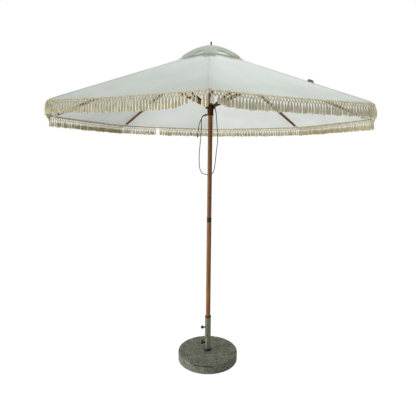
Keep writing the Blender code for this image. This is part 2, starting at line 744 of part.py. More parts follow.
def add_finial(pole, wood):
    foot = cap_height(CAP_HOLE_RADIUS) + CLEARANCE
    top = CAP_APEX_HEIGHT + FINIAL_HEIGHT
    crown = arc(0.0, top - FINIAL_RADIUS, FINIAL_RADIUS, 0.0, math.pi / 2)
    profile = [
        (0.0, CAP_APEX_HEIGHT - FINIAL_STUD_LENGTH),
        (FINIAL_STUD_RADIUS, CAP_APEX_HEIGHT - FINIAL_STUD_LENGTH),
        (FINIAL_STUD_RADIUS, foot),
        (FINIAL_FLANGE_RADIUS, foot),
        (FINIAL_FLANGE_RADIUS, foot + FINIAL_FLANGE),
        (FINIAL_RADIUS, foot + 2 * FINIAL_FLANGE),
        *crown[:-1],
        (0.0, top),
    ]
    add_object("finial", make_mesh("finial", turned(profile, SMALL_STEPS), wood), pole)


def add_runner(pole, wood, steel):
    groove = (PIVOT_RADIUS - WIRE_GROOVE_HALF, PIVOT_RADIUS + WIRE_GROOVE_HALF)
    groove_foot = RUNNER_PIVOT_HEIGHT - WIRE_GROOVE_HALF
    top = RUNNER_PIVOT_HEIGHT + RUNNER_CROWN_TOP
    bead_round = RUNNER_BEAD_RADIUS - RUNNER_NECK_RADIUS
    profile = [
        (RUNNER_BORE, RUNNER_FOOT),
        (RUNNER_NECK_RADIUS, RUNNER_FOOT),
        (RUNNER_BEAD_RADIUS, RUNNER_FOOT + bead_round),
        (RUNNER_BEAD_RADIUS, RUNNER_FOOT + RUNNER_BEAD_HEIGHT - bead_round),
        (RUNNER_NECK_RADIUS, RUNNER_FOOT + RUNNER_BEAD_HEIGHT),
        (RUNNER_NECK_RADIUS, RUNNER_CROWN_FOOT - RUNNER_FLARE_HEIGHT),
        (RUNNER_FLARE_RADIUS, RUNNER_CROWN_FOOT),
        (RUNNER_CROWN_RADIUS, RUNNER_CROWN_FOOT),
        (RUNNER_CROWN_RADIUS, top),
        (groove[1], top),
        (groove[1], groove_foot),
        (groove[0], groove_foot),
        (groove[0], top),
        (RUNNER_BORE, top),
    ]
    runner = add_object("runner", make_mesh("runner", turned(profile, closed=True), wood), pole)
    slot_inner = PIVOT_RADIUS - STRETCHER_EYE_RADIUS - CLEARANCE
    slot_floor = RUNNER_CROWN_FOOT + RUNNER_FLOOR
    slots = radial_slots(
        slot_inner, RUNNER_CROWN_RADIUS + CUT_MARGIN, RUNNER_SLOT_HALF_WIDTH, slot_floor, top + CUT_MARGIN
    )
    combine(runner, slots, "DIFFERENCE")
    peg_hole = rod(PEG_RADIUS + CLEARANCE, (0, 0, PEG_HEIGHT), (-PEG_REACH, 0, PEG_HEIGHT))
    combine(runner, peg_hole, "DIFFERENCE")
    wire_ring("runner_ring", RUNNER_PIVOT_HEIGHT, pole, steel)
    add_cord_peg(pole, wood)


def add_cord_peg(pole, wood):
    profile = [
        (0.0, RUNNER_BORE),
        (PEG_RADIUS, RUNNER_BORE),
        (PEG_RADIUS, PEG_REACH),
        (PEG_HEAD_RADIUS, PEG_REACH),
        (PEG_HEAD_RADIUS, PEG_REACH + PEG_HEAD_LENGTH),
        (0.0, PEG_REACH + PEG_HEAD_LENGTH),
    ]
    to_left = Matrix.Translation((0, 0, PEG_HEIGHT)) @ Matrix.Rotation(-math.pi / 2, 4, "Y")
    add_object("cord_peg", make_mesh("cord_peg", turned(profile, SMALL_STEPS), wood), pole, to_left)


def smooth_route(route, step):
    points = [Vector(point) for point in route]
    ahead = [*points[1:], points[-1]]
    behind = [points[0], *points[:-1]]
    pulls = [(after - before) / 6 for before, after in zip(behind, ahead)]
    smooth = []
    for index in range(len(points) - 1):
        start, end = points[index], points[index + 1]
        count = max(2, round((end - start).length / step) + 1)
        bend = geometry.interpolate_bezier(start, start + pulls[index], end - pulls[index + 1], end, count)
        smooth.extend(bend[:-1])
    return [*smooth, points[-1]]


def add_cords(pole, yarn):
    peg_end = PEG_REACH + PEG_HEAD_LENGTH
    loop = [(x, y, PEG_HEIGHT + z) for x, y, z in LOOP_ROUTE]
    loop_start = (CORD_START_RADIUS, 0.0, RUNNER_CROWN_FOOT - CORD_START_GAP)
    loop_end = (-peg_end - CORD_PEG_GAP, 0.0, PEG_HEIGHT)
    add_cord("pull_cord", [loop_start, *loop, loop_end], pole, yarn)
    tail = [(x, y, PEG_HEIGHT + z) for x, y, z in TAIL_ROUTE]
    tail_start = (-peg_end - CORD_PEG_GAP, -TAIL_SIDE, PEG_HEIGHT - TAIL_DROP)
    add_cord("cord_tail", [tail_start, *tail], pole, yarn)


def add_cord(name, route, parent, yarn):
    data = bpy.data.curves.new(name, "CURVE")
    data.dimensions = "3D"
    data.bevel_depth = CORD_RADIUS
    data.bevel_resolution = 2
    data.use_fill_caps = True
    data.materials.append(yarn)
    points = smooth_route(route, CORD_STEP)
    spline = data.splines.new("POLY")
    spline.points.add(len(points) - 1)
    for target, point in zip(spline.points, points):
        target.co = (*point, 1.0)
    add_object(name, data, parent)


# Pole and pulley

def add_lower_pole(swivel, wood, steel):
    foot = TUBE_FLOOR + CLEARANCE
    top = FERRULE_FOOT_HEIGHT - CLEARANCE
    bore_foot = top - SPIGOT_LENGTH
    profile = [
        (0.0, foot),
        (LOWER_POLE_RADIUS, foot),
        (LOWER_POLE_RADIUS, top),
        (SPIGOT_HOLE, top),
        (SPIGOT_HOLE, bore_foot),
        (0.0, bore_foot),
    ]
    pole = add_object("lower_pole", make_mesh("lower_pole", turned(profile), wood), swivel)
    spigot_foot = bore_foot + CLEARANCE
    spigot_top = FERRULE_TOP_HEIGHT + SPIGOT_LENGTH
    profile = [
        (0.0, spigot_foot),
        (SPIGOT_RADIUS, spigot_foot),
        (SPIGOT_RADIUS, FERRULE_FOOT_HEIGHT),
        (FERRULE_BAND_RADIUS, FERRULE_FOOT_HEIGHT),
        (FERRULE_BAND_RADIUS, FERRULE_TOP_HEIGHT),
        (SPIGOT_RADIUS, FERRULE_TOP_HEIGHT),
        (SPIGOT_RADIUS, spigot_top),
        (0.0, spigot_top),
    ]
    add_object("joint_ferrule", make_mesh("joint_ferrule", turned(profile), steel), pole)
    return pole


def add_upper_pole(lower_pole, wood):
    foot = FERRULE_TOP_HEIGHT + CLEARANCE
    bore_top = FERRULE_TOP_HEIGHT + SPIGOT_LENGTH + CLEARANCE
    profile = [
        (0.0, bore_top),
        (SPIGOT_HOLE, bore_top),
        (SPIGOT_HOLE, foot),
        (UPPER_POLE_RADIUS, foot),
        (UPPER_POLE_RADIUS, POLE_SHOULDER),
        (POLE_DOWEL_RADIUS, POLE_SHOULDER),
        (POLE_DOWEL_RADIUS, POLE_DOWEL_TOP),
        (0.0, POLE_DOWEL_TOP),
    ]
    pole = add_object("upper_pole", make_mesh("upper_pole", turned(profile), wood), lower_pole)
    half_slot = PULLEY_HALF_WIDTH + PULLEY_SIDE_GAP
    half_height = PULLEY_RADIUS + PULLEY_SLOT_MARGIN
    side = UPPER_POLE_RADIUS + CUT_MARGIN
    slot = block(
        (-side, -half_slot, PULLEY_HEIGHT - half_height), (side, half_slot, PULLEY_HEIGHT + half_height)
    )
    combine(pole, slot, "DIFFERENCE")
    hole = rod(AXLE_RADIUS + CLEARANCE, (0, -side, PULLEY_HEIGHT), (0, side, PULLEY_HEIGHT))
    combine(pole, hole, "DIFFERENCE")
    return pole


def add_pulley(pole, metal):
    hole = AXLE_RADIUS + CLEARANCE
    profile = [
        (hole, -PULLEY_HALF_WIDTH),
        (PULLEY_RADIUS, -PULLEY_HALF_WIDTH),
        (PULLEY_RADIUS - PULLEY_GROOVE_DEPTH, 0.0),
        (PULLEY_RADIUS, PULLEY_HALF_WIDTH),
        (hole, PULLEY_HALF_WIDTH),
    ]
    lying = Matrix.Translation((0, 0, PULLEY_HEIGHT)) @ Matrix.Rotation(math.pi / 2, 4, "X")
    wheel = turned(profile, SMALL_STEPS, closed=True)
    add_object("pulley", make_mesh("pulley", wheel, metal), pole, lying)
    half_length = math.sqrt(UPPER_POLE_RADIUS**2 - AXLE_RADIUS**2) - CLEARANCE
    axle = rod(AXLE_RADIUS, (0, 0, -half_length), (0, 0, half_length))
    add_object("pulley_axle", make_mesh("pulley_axle", axle, metal), pole, lying)


# Base

def add_slab(base, stone):
    hole = TUBE_RADIUS + CLEARANCE
    recess = TUBE_PLATE_RADIUS + CLEARANCE
    recess_top = TUBE_FLOOR + CLEARANCE
    edge = SLAB_RADIUS - SLAB_EDGE
    profile = [
        (hole, recess_top),
        (recess, recess_top),
        (recess, 0.0),
        *arc(edge, SLAB_EDGE, SLAB_EDGE, -math.pi / 2, 0.0),
        *arc(edge, SLAB_HEIGHT - SLAB_EDGE, SLAB_EDGE, 0.0, math.pi / 2),
        (hole, SLAB_HEIGHT),
    ]
    slab = add_object("base_slab", make_mesh("base_slab", turned(profile, SLAB_STEPS, closed=True), stone), base)
    grip_top = SLAB_HEIGHT - GRIP_FALL
    outline = [
        (SLAB_RADIUS - GRIP_DEPTH, grip_top - GRIP_HEIGHT),
        (SLAB_RADIUS + CUT_MARGIN, grip_top - GRIP_HEIGHT),
        (SLAB_RADIUS + CUT_MARGIN, grip_top),
        (SLAB_RADIUS - GRIP_DEPTH, grip_top),
    ]
    sections = []
    for angle in steps_between(GRIP_START, GRIP_END, SMALL_STEPS):
        sections.append([(r * math.cos(angle), r * math.sin(angle), z) for r, z in outline])
    combine(slab, loft(sections), "DIFFERENCE")


def add_tube(base, steel, rubber):
    profile = [
        (0.0, TUBE_PLATE_LIFT),
        (TUBE_PLATE_RADIUS, TUBE_PLATE_LIFT),
        (TUBE_PLATE_RADIUS, TUBE_FLOOR),
        (TUBE_RADIUS, TUBE_FLOOR),
        (TUBE_RADIUS, FOOT_COLLAR_FOOT),
        (FOOT_COLLAR_RADIUS, FOOT_COLLAR_FOOT),
        (FOOT_COLLAR_RADIUS - FOOT_COLLAR_SLOPE, FOOT_COLLAR_FOOT + FOOT_COLLAR_HEIGHT),
        (TUBE_RADIUS, FOOT_COLLAR_FOOT + FOOT_COLLAR_HEIGHT),
        (TUBE_RADIUS, TUBE_TOP),
        (TUBE_BORE, TUBE_TOP),
        (TUBE_BORE, TUBE_FLOOR),
        (0.0, TUBE_FLOOR),
    ]
    tube = add_object("base_tube", make_mesh("base_tube", turned(profile), steel), base)
    for height in (UPPER_SCREW_HEIGHT, LOWER_SCREW_HEIGHT):
        inside = -(TUBE_BORE + TUBE_WALL / 2)
        combine(tube, rod(NUT_RADIUS, (inside, 0, height), (-NUT_REACH, 0, height), 6), "UNION")
        combine(tube, rod(SCREW_RADIUS + CLEARANCE, (0, 0, height), (-NUT_REACH - CUT_MARGIN, 0, height)), "DIFFERENCE")
    bore = LOWER_POLE_RADIUS + CLEARANCE
    sleeve = TUBE_BORE - CLEARANCE
    foot = TUBE_TOP + CLEARANCE
    profile = [
        (bore, foot - COLLAR_SLEEVE),
        (sleeve, foot - COLLAR_SLEEVE),
        (sleeve, foot),
        (COLLAR_RADIUS, foot),
        (COLLAR_RADIUS, foot + COLLAR_HEIGHT),
        (bore, foot + COLLAR_HEIGHT),
    ]
    add_object("tube_collar", make_mesh("tube_collar", turned(profile, closed=True), rubber), base)


def add_clamp_screw(name, base, height, knob_sections, knob_start, plastic):
    place = Matrix.Translation((0, 0, height)) @ Matrix.Rotation(-math.pi / 2, 4, "Y")
    screw = add_object(name, make_mesh(name, loft(knob_sections), plastic), base, place)
    shank = rod(SCREW_RADIUS, (0, 0, SCREW_TIP_REACH), (0, 0, knob_start + CUT_MARGIN))
    combine(screw, shank, "UNION")


def add_clamp_screws(base, plastic):
    start = NUT_REACH + KNOB_GAP
    half = UPPER_KNOB_LENGTH / 2
    ball = []
    for slope in steps_between(-70, 70, SMALL_STEPS // 2):
        radius = UPPER_KNOB_RADIUS * math.cos(math.radians(slope))
        z = start + half + half * math.sin(math.radians(slope))
        turns = [2 * math.pi * step / SMALL_STEPS for step in range(SMALL_STEPS)]
        ball.append([(radius * math.cos(turn), radius * math.sin(turn), z) for turn in turns])
    add_clamp_screw("clamp_screw_upper", base, UPPER_SCREW_HEIGHT, ball, start, plastic)
    star = []
    rim = LOWER_KNOB_RADIUS - LOWER_KNOB_LOBE_DEPTH
    for share, height in ((0.55, 0.0), (0.92, 0.12), (1.0, 0.3), (1.0, 0.7), (0.92, 0.88), (0.6, 1.0)):
        turns = [2 * math.pi * step / (8 * LOWER_KNOB_LOBES) for step in range(8 * LOWER_KNOB_LOBES)]
        radii = [share * (rim + LOWER_KNOB_LOBE_DEPTH * math.cos(LOWER_KNOB_LOBES * turn)) for turn in turns]
        z = start + height * LOWER_KNOB_LENGTH
        star.append([(r * math.cos(turn), r * math.sin(turn), z) for r, turn in zip(radii, turns)])
    add_clamp_screw("clamp_screw_lower", base, LOWER_SCREW_HEIGHT, star, start, plastic)


def build():
    clear_scene()
    light_wood = make_material("oiled_hardwood_light", (0.20, 0.10, 0.035), 0.5)
    dark_wood = make_material("oiled_hardwood_dark", (0.13, 0.062, 0.025), 0.5)
    hub_wood = make_material("turned_hub_wood", (0.055, 0.030, 0.014), 0.5)
    steel = make_material("galvanised_steel", (0.42, 0.43, 0.40), 0.35, 1.0)
    dark_steel = make_material("blackened_steel", (0.05, 0.05, 0.045), 0.45, 1.0)
    plastic = make_material("black_plastic", (0.012, 0.012, 0.012), 0.45)
    rubber = make_material("dark_collar_plastic", (0.03, 0.018, 0.012), 0.5)
    stone = make_material("granite", (0.13, 0.135, 0.11), 0.75)
    cloth = make_material("canopy_cloth", (0.72, 0.74, 0.71), 0.9)
    yarn = make_material("cotton_fringe", (0.52, 0.48, 0.36), 0.95)
    cord_yarn = make_material("dark_cord", (0.035, 0.024, 0.022), 0.85)
    strap_cloth = make_material("strap_cloth", (0.30, 0.28, 0.27), 0.9)

    base = add_axis("base_axis")
    add_slab(base, stone)
    add_tube(base, steel, rubber)
    add_clamp_screws(base, plastic)
    swivel = add_axis("pole_swivel_axis", base)
    lower_pole = add_lower_pole(swivel, light_wood, dark_steel)
    upper_pole = add_upper_pole(lower_pole, dark_wood)
    add_pulley(upper_pole, steel)
    add_hub(upper_pole, hub_wood, steel)
    add_finial(upper_pole, hub_wood)
    ribs = add_ribs(upper_pole, dark_wood, dark_steel)
    add_runner(upper_pole, hub_wood, steel)
    add_cords(upper_pole, cord_yarn)
    add_canopy(upper_pole, cloth, yarn, strap_cloth, ribs)


build()
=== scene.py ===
import math
import random

import bpy
from mathutils import Matrix, Vector, geometry, noise


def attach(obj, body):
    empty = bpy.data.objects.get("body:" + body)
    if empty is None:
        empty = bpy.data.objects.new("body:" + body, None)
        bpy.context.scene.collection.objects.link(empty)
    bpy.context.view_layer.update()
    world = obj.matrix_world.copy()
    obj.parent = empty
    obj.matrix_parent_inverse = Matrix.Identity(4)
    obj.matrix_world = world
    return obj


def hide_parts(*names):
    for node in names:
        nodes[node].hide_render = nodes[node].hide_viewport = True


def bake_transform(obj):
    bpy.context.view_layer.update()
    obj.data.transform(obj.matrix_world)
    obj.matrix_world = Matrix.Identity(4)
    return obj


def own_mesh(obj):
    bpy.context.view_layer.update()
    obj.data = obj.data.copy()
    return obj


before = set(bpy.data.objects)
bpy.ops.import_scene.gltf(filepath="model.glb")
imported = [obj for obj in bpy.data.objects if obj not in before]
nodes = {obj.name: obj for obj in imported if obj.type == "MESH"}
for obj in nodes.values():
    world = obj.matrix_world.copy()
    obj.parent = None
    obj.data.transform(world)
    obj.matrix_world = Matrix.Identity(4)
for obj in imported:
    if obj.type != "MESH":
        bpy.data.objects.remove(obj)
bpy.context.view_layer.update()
ribCount = 8
halfTurn = math.pi / ribCount
print("frame loaded with", len(nodes), "nodes")


def hexColour(code):
    parts = [int(code[at:at + 2], 16) / 255 for at in (1, 3, 5)]
    linear = [c / 12.92 if c <= 0.04045 else ((c + 0.055) / 1.055) ** 2.4 for c in parts]
    return (*linear, 1.0)


def addNode(tree, kind, values=None, links=None, **settings):
    node = tree.nodes.new("ShaderNode" + kind)
    for name, value in settings.items():
        setattr(node, name, value)
    for name, value in (values or {}).items():
        node.inputs[name].default_value = value
    for name, socket in (links or {}).items():
        tree.links.new(socket, node.inputs[name])
    return node


def newMaterial(name):
    material = bpy.data.materials.new(name)
    material.use_nodes = True
    material.node_tree.nodes.clear()
    return material, material.node_tree


def colourRamp(tree, socket, stops):
    ramp = addNode(tree, "ValToRGB", links={"Fac": socket})
    elements = ramp.color_ramp.elements
    while len(elements) < len(stops):
        elements.new(0.5)
    for element, (place, code) in zip(elements, stops):
        element.position = place
        element.color = hexColour(code)
    return ramp.outputs["Color"]


def waveScale(periodMm):
    return 0.31416 / (periodMm / 1000)  # a wave texture's bands repeat every 0.314 over its scale


def noiseScale(grainMm):
    return 1000 / grainMm


# stage, lights and camera

stageSetup = {
    "lens": 32.12,
    "sensor": 36.0,
    "place": (0.0127, -2.9823, 1.7160),
    "yaw": -0.0078,
    "pitch": -0.139,
    "roll": 0.011,
    "floorHalf": 30.0,
    "skyStrength": 0.48,
    "floorGlow": 0.95,
    "glowStrength": 1.06,
    "floorPaint": (0.62, 0.62, 0.62, 1.0),
    "white": (1.0, 1.0, 1.0, 1.0),
    "lamps": [
        # name, place, aim, size in metres, watts
        ("sunLamp", (0.9, 0.2, 5.0), (0.0, 0.0, 2.3), 0.5, 60),
        ("backSky", (1.2, 3.3, 5.0), (0.2, 0.2, 2.1), 3.0, 40),
        ("leftWindow", (-3.7, -1.5, 1.1), (0.0, 0.0, 0.5), 1.4, 140),
        ("rightFill", (2.6, -2.6, 1.2), (0.6, -0.8, 2.0), 1.2, 8),
    ],
}


def addCamera():
    yaw, pitch, roll = (stageSetup[key] for key in ("yaw", "pitch", "roll"))
    level = math.cos(pitch)
    forward = Vector((math.sin(yaw) * level, math.cos(yaw) * level, math.sin(pitch)))
    side = Vector((math.cos(yaw), -math.sin(yaw), 0.0))
    top = side.cross(forward)
    right = side * math.cos(roll) + top * math.sin(roll)
    up = top * math.cos(roll) - side * math.sin(roll)
    turn = Matrix((right, up, -forward)).transposed().to_4x4()
    bpy.ops.object.camera_add()
    camera = bpy.context.object
    camera.name = "photoCamera"
    camera.matrix_world = Matrix.Translation(stageSetup["place"]) @ turn
    camera.data.lens = stageSetup["lens"]
    camera.data.sensor_width = stageSetup["sensor"]
    bpy.context.scene.camera = camera


def seenRays(tree):
    path = addNode(tree, "LightPath")
    seen = path.outputs["Is Camera Ray"]
    for kind in ("Is Glossy Ray", "Is Transmission Ray"):
        seen = addNode(tree, "Math", links={0: seen, 1: path.outputs[kind]}, operation="MAXIMUM").outputs[0]
    return seen


def addStage():
    bpy.ops.object.select_all(action="DESELECT")
    bpy.ops.mesh.primitive_plane_add(size=2 * stageSetup["floorHalf"])
    floor = bpy.context.object
    floor.name = "paleFloor"
    material, tree = newMaterial("paleFloorPaint")
    white = stageSetup["white"]
    paint = addNode(tree, "BsdfDiffuse", {"Color": stageSetup["floorPaint"]})
    glow = addNode(tree, "Emission", {"Color": white, "Strength": stageSetup["glowStrength"]})
    share = addNode(tree, "Math", {1: stageSetup["floorGlow"]}, {0: seenRays(tree)}, operation="MULTIPLY")
    mixed = addNode(tree, "MixShader", links={0: share.outputs[0], 1: paint.outputs[0], 2: glow.outputs[0]})
    addNode(tree, "OutputMaterial", links={"Surface": mixed.outputs[0]})
    floor.data.materials.append(material)

    world = bpy.context.scene.world or bpy.data.worlds.new("studio")
    bpy.context.scene.world = world
    world.use_nodes = True
    tree = world.node_tree
    tree.nodes.clear()
    sky = addNode(tree, "Background", {"Color": white, "Strength": stageSetup["skyStrength"]})
    seen = addNode(tree, "Background", {"Color": white, "Strength": 1.0})
    mixed = addNode(tree, "MixShader", links={0: seenRays(tree), 1: sky.outputs[0], 2: seen.outputs[0]})
    addNode(tree, "OutputWorld", links={"Surface": mixed.outputs[0]})

    for name, place, aim, size, watts in stageSetup["lamps"]:
        bpy.ops.object.light_add(type="AREA", location=place)
        lamp = bpy.context.object
        lamp.name = name
        lamp.data.shape = "DISK"
        lamp.data.size = size
        lamp.data.energy = watts
        lamp.rotation_euler = (Vector(aim) - Vector(place)).to_track_quat("-Z", "Y").to_euler()
        lamp.visible_camera = False
    bpy.context.scene.view_settings.view_transform = "Standard"


addStage()
addCamera()
print("stage, lights and camera set")


# helpers for modelling by operators

def deselectAll():
    if bpy.context.object and bpy.context.object.mode != "OBJECT":
        bpy.ops.object.mode_set(mode="OBJECT")
    bpy.ops.object.select_all(action="DESELECT")


def makeActive(piece):
    deselectAll()
    piece.select_set(True)
    bpy.context.view_layer.objects.active = piece


def linkObject(name, data):
    piece = bpy.data.objects.new(name, data)
    bpy.context.scene.collection.objects.link(piece)
    return piece


def meshPiece(name, points, faces, edges=()):
    mesh = bpy.data.meshes.new(name)
    mesh.from_pydata([tuple(point) for point in points], list(edges), faces)
    return linkObject(name, mesh)


def applyModifiers(piece):
    makeActive(piece)
    for modifier in list(piece.modifiers):
        bpy.ops.object.modifier_apply(modifier=modifier.name)


def applyPlace(piece):
    makeActive(piece)
    bpy.ops.object.transform_apply(location=True, rotation=True, scale=True)


def smoothByAngle(piece, degrees=35):
    makeActive(piece)
    bpy.ops.object.shade_smooth_by_angle(angle=math.radians(degrees))


def finishPiece(piece, name, material, body, replaced=()):
    piece.name = name
    piece.data.name = name
    piece.data.materials.clear()
    piece.data.materials.append(material)
    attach(piece, body)
    if replaced:
        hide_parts(*replaced)
    return piece


def turnProfile(name, profile, steps=48, closed=False):
    # a lathe: the outline of (radius, height) pairs is spun round the pole axis
    points = [(radius, 0.0, height) for radius, height in profile]
    edges = [(at, at + 1) for at in range(len(points) - 1)]
    if closed:
        edges.append((len(points) - 1, 0))
    piece = meshPiece(name, points, [], edges)
    makeActive(piece)
    bpy.ops.object.mode_set(mode="EDIT")
    bpy.ops.mesh.select_all(action="SELECT")
    bpy.ops.mesh.spin(steps=steps, angle=2 * math.pi, center=(0, 0, 0), axis=(0, 0, 1))
    bpy.ops.mesh.select_all(action="SELECT")
    bpy.ops.mesh.remove_doubles(threshold=0.00002)
    bpy.ops.mesh.normals_make_consistent(inside=False)
    bpy.ops.object.mode_set(mode="OBJECT")
    smoothByAngle(piece)
    return piece


def addTurned(name, outline, steps, look, body, replaced=(), closed=False):
    return finishPiece(turnProfile(name, outline, steps, closed), name, finish[look], body, replaced)


def layAcross(piece, height):
    piece.matrix_world = Matrix.Translation((0.0, 0.0, height)) @ Matrix.Rotation(-math.pi / 2, 4, "Y")
    applyPlace(piece)


def bevelEdges(piece, width, segments=2, degrees=40):
    bevel = piece.modifiers.new("edgeRound", "BEVEL")
    bevel.width = width
    bevel.segments = segments
    bevel.limit_method = "ANGLE"
    bevel.angle_limit = math.radians(degrees)
    applyModifiers(piece)
    smoothByAngle(piece)


def addBlock(low, high, turn=0.0):
    deselectAll()
    middle = Matrix.Rotation(turn, 3, "Z") @ ((Vector(low) + Vector(high)) / 2)
    bpy.ops.mesh.primitive_cube_add(size=1.0, location=middle, rotation=(0.0, 0.0, turn))
    block = bpy.context.object
    block.scale = Vector(high) - Vector(low)
    applyPlace(block)
    return block


def addRod(radius, start, end, sides):
    deselectAll()
    along = Vector(end) - Vector(start)
    bpy.ops.mesh.primitive_cylinder_add(
        vertices=sides,
        radius=radius,
        depth=along.length,
        location=(Vector(start) + Vector(end)) / 2,
        rotation=along.to_track_quat("Z", "Y").to_euler(),
    )
    rod = bpy.context.object
    applyPlace(rod)
    return rod


def joinPieces(pieces):
    deselectAll()
    for piece in pieces:
        piece.select_set(True)
    bpy.context.view_layer.objects.active = pieces[0]
    bpy.ops.object.join()
    return bpy.context.object


def cutAway(piece, cutter):
    cut = piece.modifiers.new("cut", "BOOLEAN")
    cut.operation = "DIFFERENCE"
    cut.solver = "EXACT"
    cut.object = cutter
    applyModifiers(piece)
    bpy.data.objects.remove(cutter, do_unlink=True)


def radialSlots(inner, outer, half, low, high):
    blocks = []
    for rib in range(1, ribCount + 1):
        blocks.append(addBlock((inner, -half, low), (outer, half, high), ribAngle(rib)))
    return joinPieces(blocks)


def smoothRoute(points, step):
    points = [Vector(point) for point in points]
    ahead = [*points[1:], points[-1]]
    behind = [points[0], *points[:-1]]
    pulls = [(after - before) / 6 for before, after in zip(behind, ahead)]
    route = []
    for at in range(len(points) - 1):
        start, end = points[at], points[at + 1]
        count = max(2, round((end - start).length / step) + 1)
        bend = geometry.interpolate_bezier(start, start + pulls[at], end - pulls[at + 1], end, count)
        route.extend(bend[:-1])
    return [*route, points[-1]]


def curvePiece(name, points, radius, resolution=3):
    data = bpy.data.curves.new(name, "CURVE")
    data.dimensions = "3D"
    data.bevel_depth = radius
    data.bevel_resolution = resolution
    data.use_fill_caps = True
    spline = data.splines.new("POLY")
    spline.points.add(len(points) - 1)
    for target, point in zip(spline.points, points):
        target.co = (*point, 1.0)
    return linkObject(name, data)


def linkRings(faces, first, count, wide, flipped=False):
    # quads between closed rings of points, with both ends filled
    for ring in range(count - 1):
        for turn in range(wide):
            a = first + ring * wide + turn
            b = first + ring * wide + (turn + 1) % wide
            faces.append((a, a + wide, b + wide, b) if flipped else (a, b, b + wide, a + wide))
    start = range(first, first + wide)
    end = range(first + (count - 1) * wide, first + count * wide)
    faces += [tuple(start), tuple(reversed(end))] if flipped else [tuple(reversed(start)), tuple(end)]


def ribAngle(rib):
    return math.radians(-90) + (rib - 1) * 2 * halfTurn


def panelAngle(panel):
    return ribAngle(panel) + halfTurn


# materials

def objectSpot(tree):
    return addNode(tree, "TexCoord").outputs["Object"]


def noiseFac(tree, spot, grainMm, detail, distortion=0.0):
    values = {"Scale": noiseScale(grainMm), "Detail": detail, "Distortion": distortion}
    return addNode(tree, "TexNoise", values, {"Vector": spot}).outputs["Fac"]


def addBump(tree, height, strength, distance):
    return addNode(tree, "Bump", {"Strength": strength, "Distance": distance}, {"Height": height}).outputs[0]


def mapRange(tree, value, low, high, begin=0.0, end=1.0):
    limits = {"From Min": begin, "From Max": end, "To Min": low, "To Max": high}
    return addNode(tree, "MapRange", limits, {"Value": value}).outputs[0]


def mixSides(tree, share, inside, outside):
    return addNode(tree, "Mix", links={0: share, 6: inside, 7: outside}, data_type="RGBA").outputs[2]


def addSurface(tree, values, links, through=0.0, glowNormal=None):
    shader = addNode(tree, "BsdfPrincipled", values, links).outputs[0]
    if through:
        glow = addNode(tree, "BsdfTranslucent", links={"Color": links["Base Color"]})
        if glowNormal is not None:
            tree.links.new(glowNormal, glow.inputs["Normal"])
        shader = addNode(tree, "MixShader", {0: through}, {1: shader, 2: glow.outputs[0]}).outputs[0]
    addNode(tree, "OutputMaterial", links={"Surface": shader})


def canvasCloth(name, light, shade, through, inner=None):
    # solution-dyed acrylic canvas: plain weave, matt, lets some light through; when inner colours are given, the
    # underside is drawn lighter than the upper side, which is painted light
    material, tree = newMaterial(name)
    uv = addNode(tree, "UVMap").outputs["UV"]
    place = addNode(tree, "TexCoord")
    weather = noiseFac(tree, place.outputs["Object"], 260, 3.0)
    colour = colourRamp(tree, weather, [(0.3, shade), (0.62, light)])
    # painted light: faces that look down get the lighter inner colours
    if inner:
        paintedLightUnderside = colourRamp(tree, weather, [(0.3, inner[1]), (0.62, inner[0])])
        facing = addNode(tree, "SeparateXYZ", links={"Vector": place.outputs["Normal"]}).outputs["Z"]
        colour = mixSides(tree, mapRange(tree, facing, 0.0, 1.0, -0.1, 0.1), paintedLightUnderside, colour)
    # the real threads are 0.5 mm apart, drawn at 5 mm so that they show
    threads = {}
    for at, way in enumerate("XY"):
        wave = addNode(tree, "TexWave", {"Scale": waveScale(5)}, {"Vector": uv}, bands_direction=way)
        threads[at] = wave.outputs["Fac"]
    weave = addNode(tree, "Math", links=threads, operation="ADD").outputs[0]
    bump = addBump(tree, weave, 0.12, 0.0006)
    values = {"Roughness": 0.88, "Specular IOR Level": 0.2, "Sheen Weight": 0.15}
    addSurface(tree, values, {"Base Color": colour, "Normal": bump}, through, bump)
    return material


def cottonYarn(name, light, shade, inner=None):
    # undyed cotton cord: soft, fuzzy, twisted strands; when inner colours are given, faces turned in towards the
    # pole are drawn darker and tanner, which is painted shade
    material, tree = newMaterial(name)
    place = addNode(tree, "TexCoord")
    spot = place.outputs["Object"]
    tone = noiseFac(tree, spot, 28, 2.0)
    colour = colourRamp(tree, tone, [(0.32, shade), (0.64, light)])
    # painted shade: the inner colours go on faces that look in towards the pole axis
    if inner:
        paintedInnerShade = colourRamp(tree, tone, [(0.32, inner[1]), (0.64, inner[0])])
        level = addNode(tree, "VectorMath", {1: (1.0, 1.0, 0.0)}, {0: spot}, operation="MULTIPLY").outputs[0]
        outwards = addNode(tree, "VectorMath", links={0: level}, operation="NORMALIZE").outputs[0]
        pair = {0: outwards, 1: place.outputs["Normal"]}
        facing = addNode(tree, "VectorMath", links=pair, operation="DOT_PRODUCT").outputs["Value"]
        colour = mixSides(tree, mapRange(tree, facing, 0.0, 1.0, -0.75, -0.15), paintedInnerShade, colour)
    bump = addBump(tree, noiseFac(tree, spot, 3, 2.0), 0.5, 0.0012)
    values = {"Roughness": 0.95, "Specular IOR Level": 0.15, "Sheen Weight": 0.25}
    addSurface(tree, values, {"Base Color": colour, "Normal": bump}, 0.10)
    return material


def oiledWood(name, light, dark, turn=(0.0, 0.0, 0.0), shine=0.25):
    # oiled tropical hardwood: straight grain along the bar, satin, fine dark pores
    material, tree = newMaterial(name)
    upright = addNode(tree, "Mapping", {"Rotation": turn}, {"Vector": objectSpot(tree)}).outputs[0]
    drawn = addNode(tree, "Mapping", {"Scale": (1.0, 1.0, 0.05)}, {"Vector": upright}).outputs[0]
    pores = noiseFac(tree, drawn, 2, 2.0)
    links = {
        "Base Color": colourRamp(tree, noiseFac(tree, drawn, 7, 4.0, 0.6), [(0.33, dark), (0.66, light)]),
        "Roughness": mapRange(tree, pores, 0.42, 0.62, 0.3, 0.7),
        "Normal": addBump(tree, pores, 0.25, 0.0005),
    }
    addSurface(tree, {"IOR": 1.5, "Specular IOR Level": shine}, links)
    return material


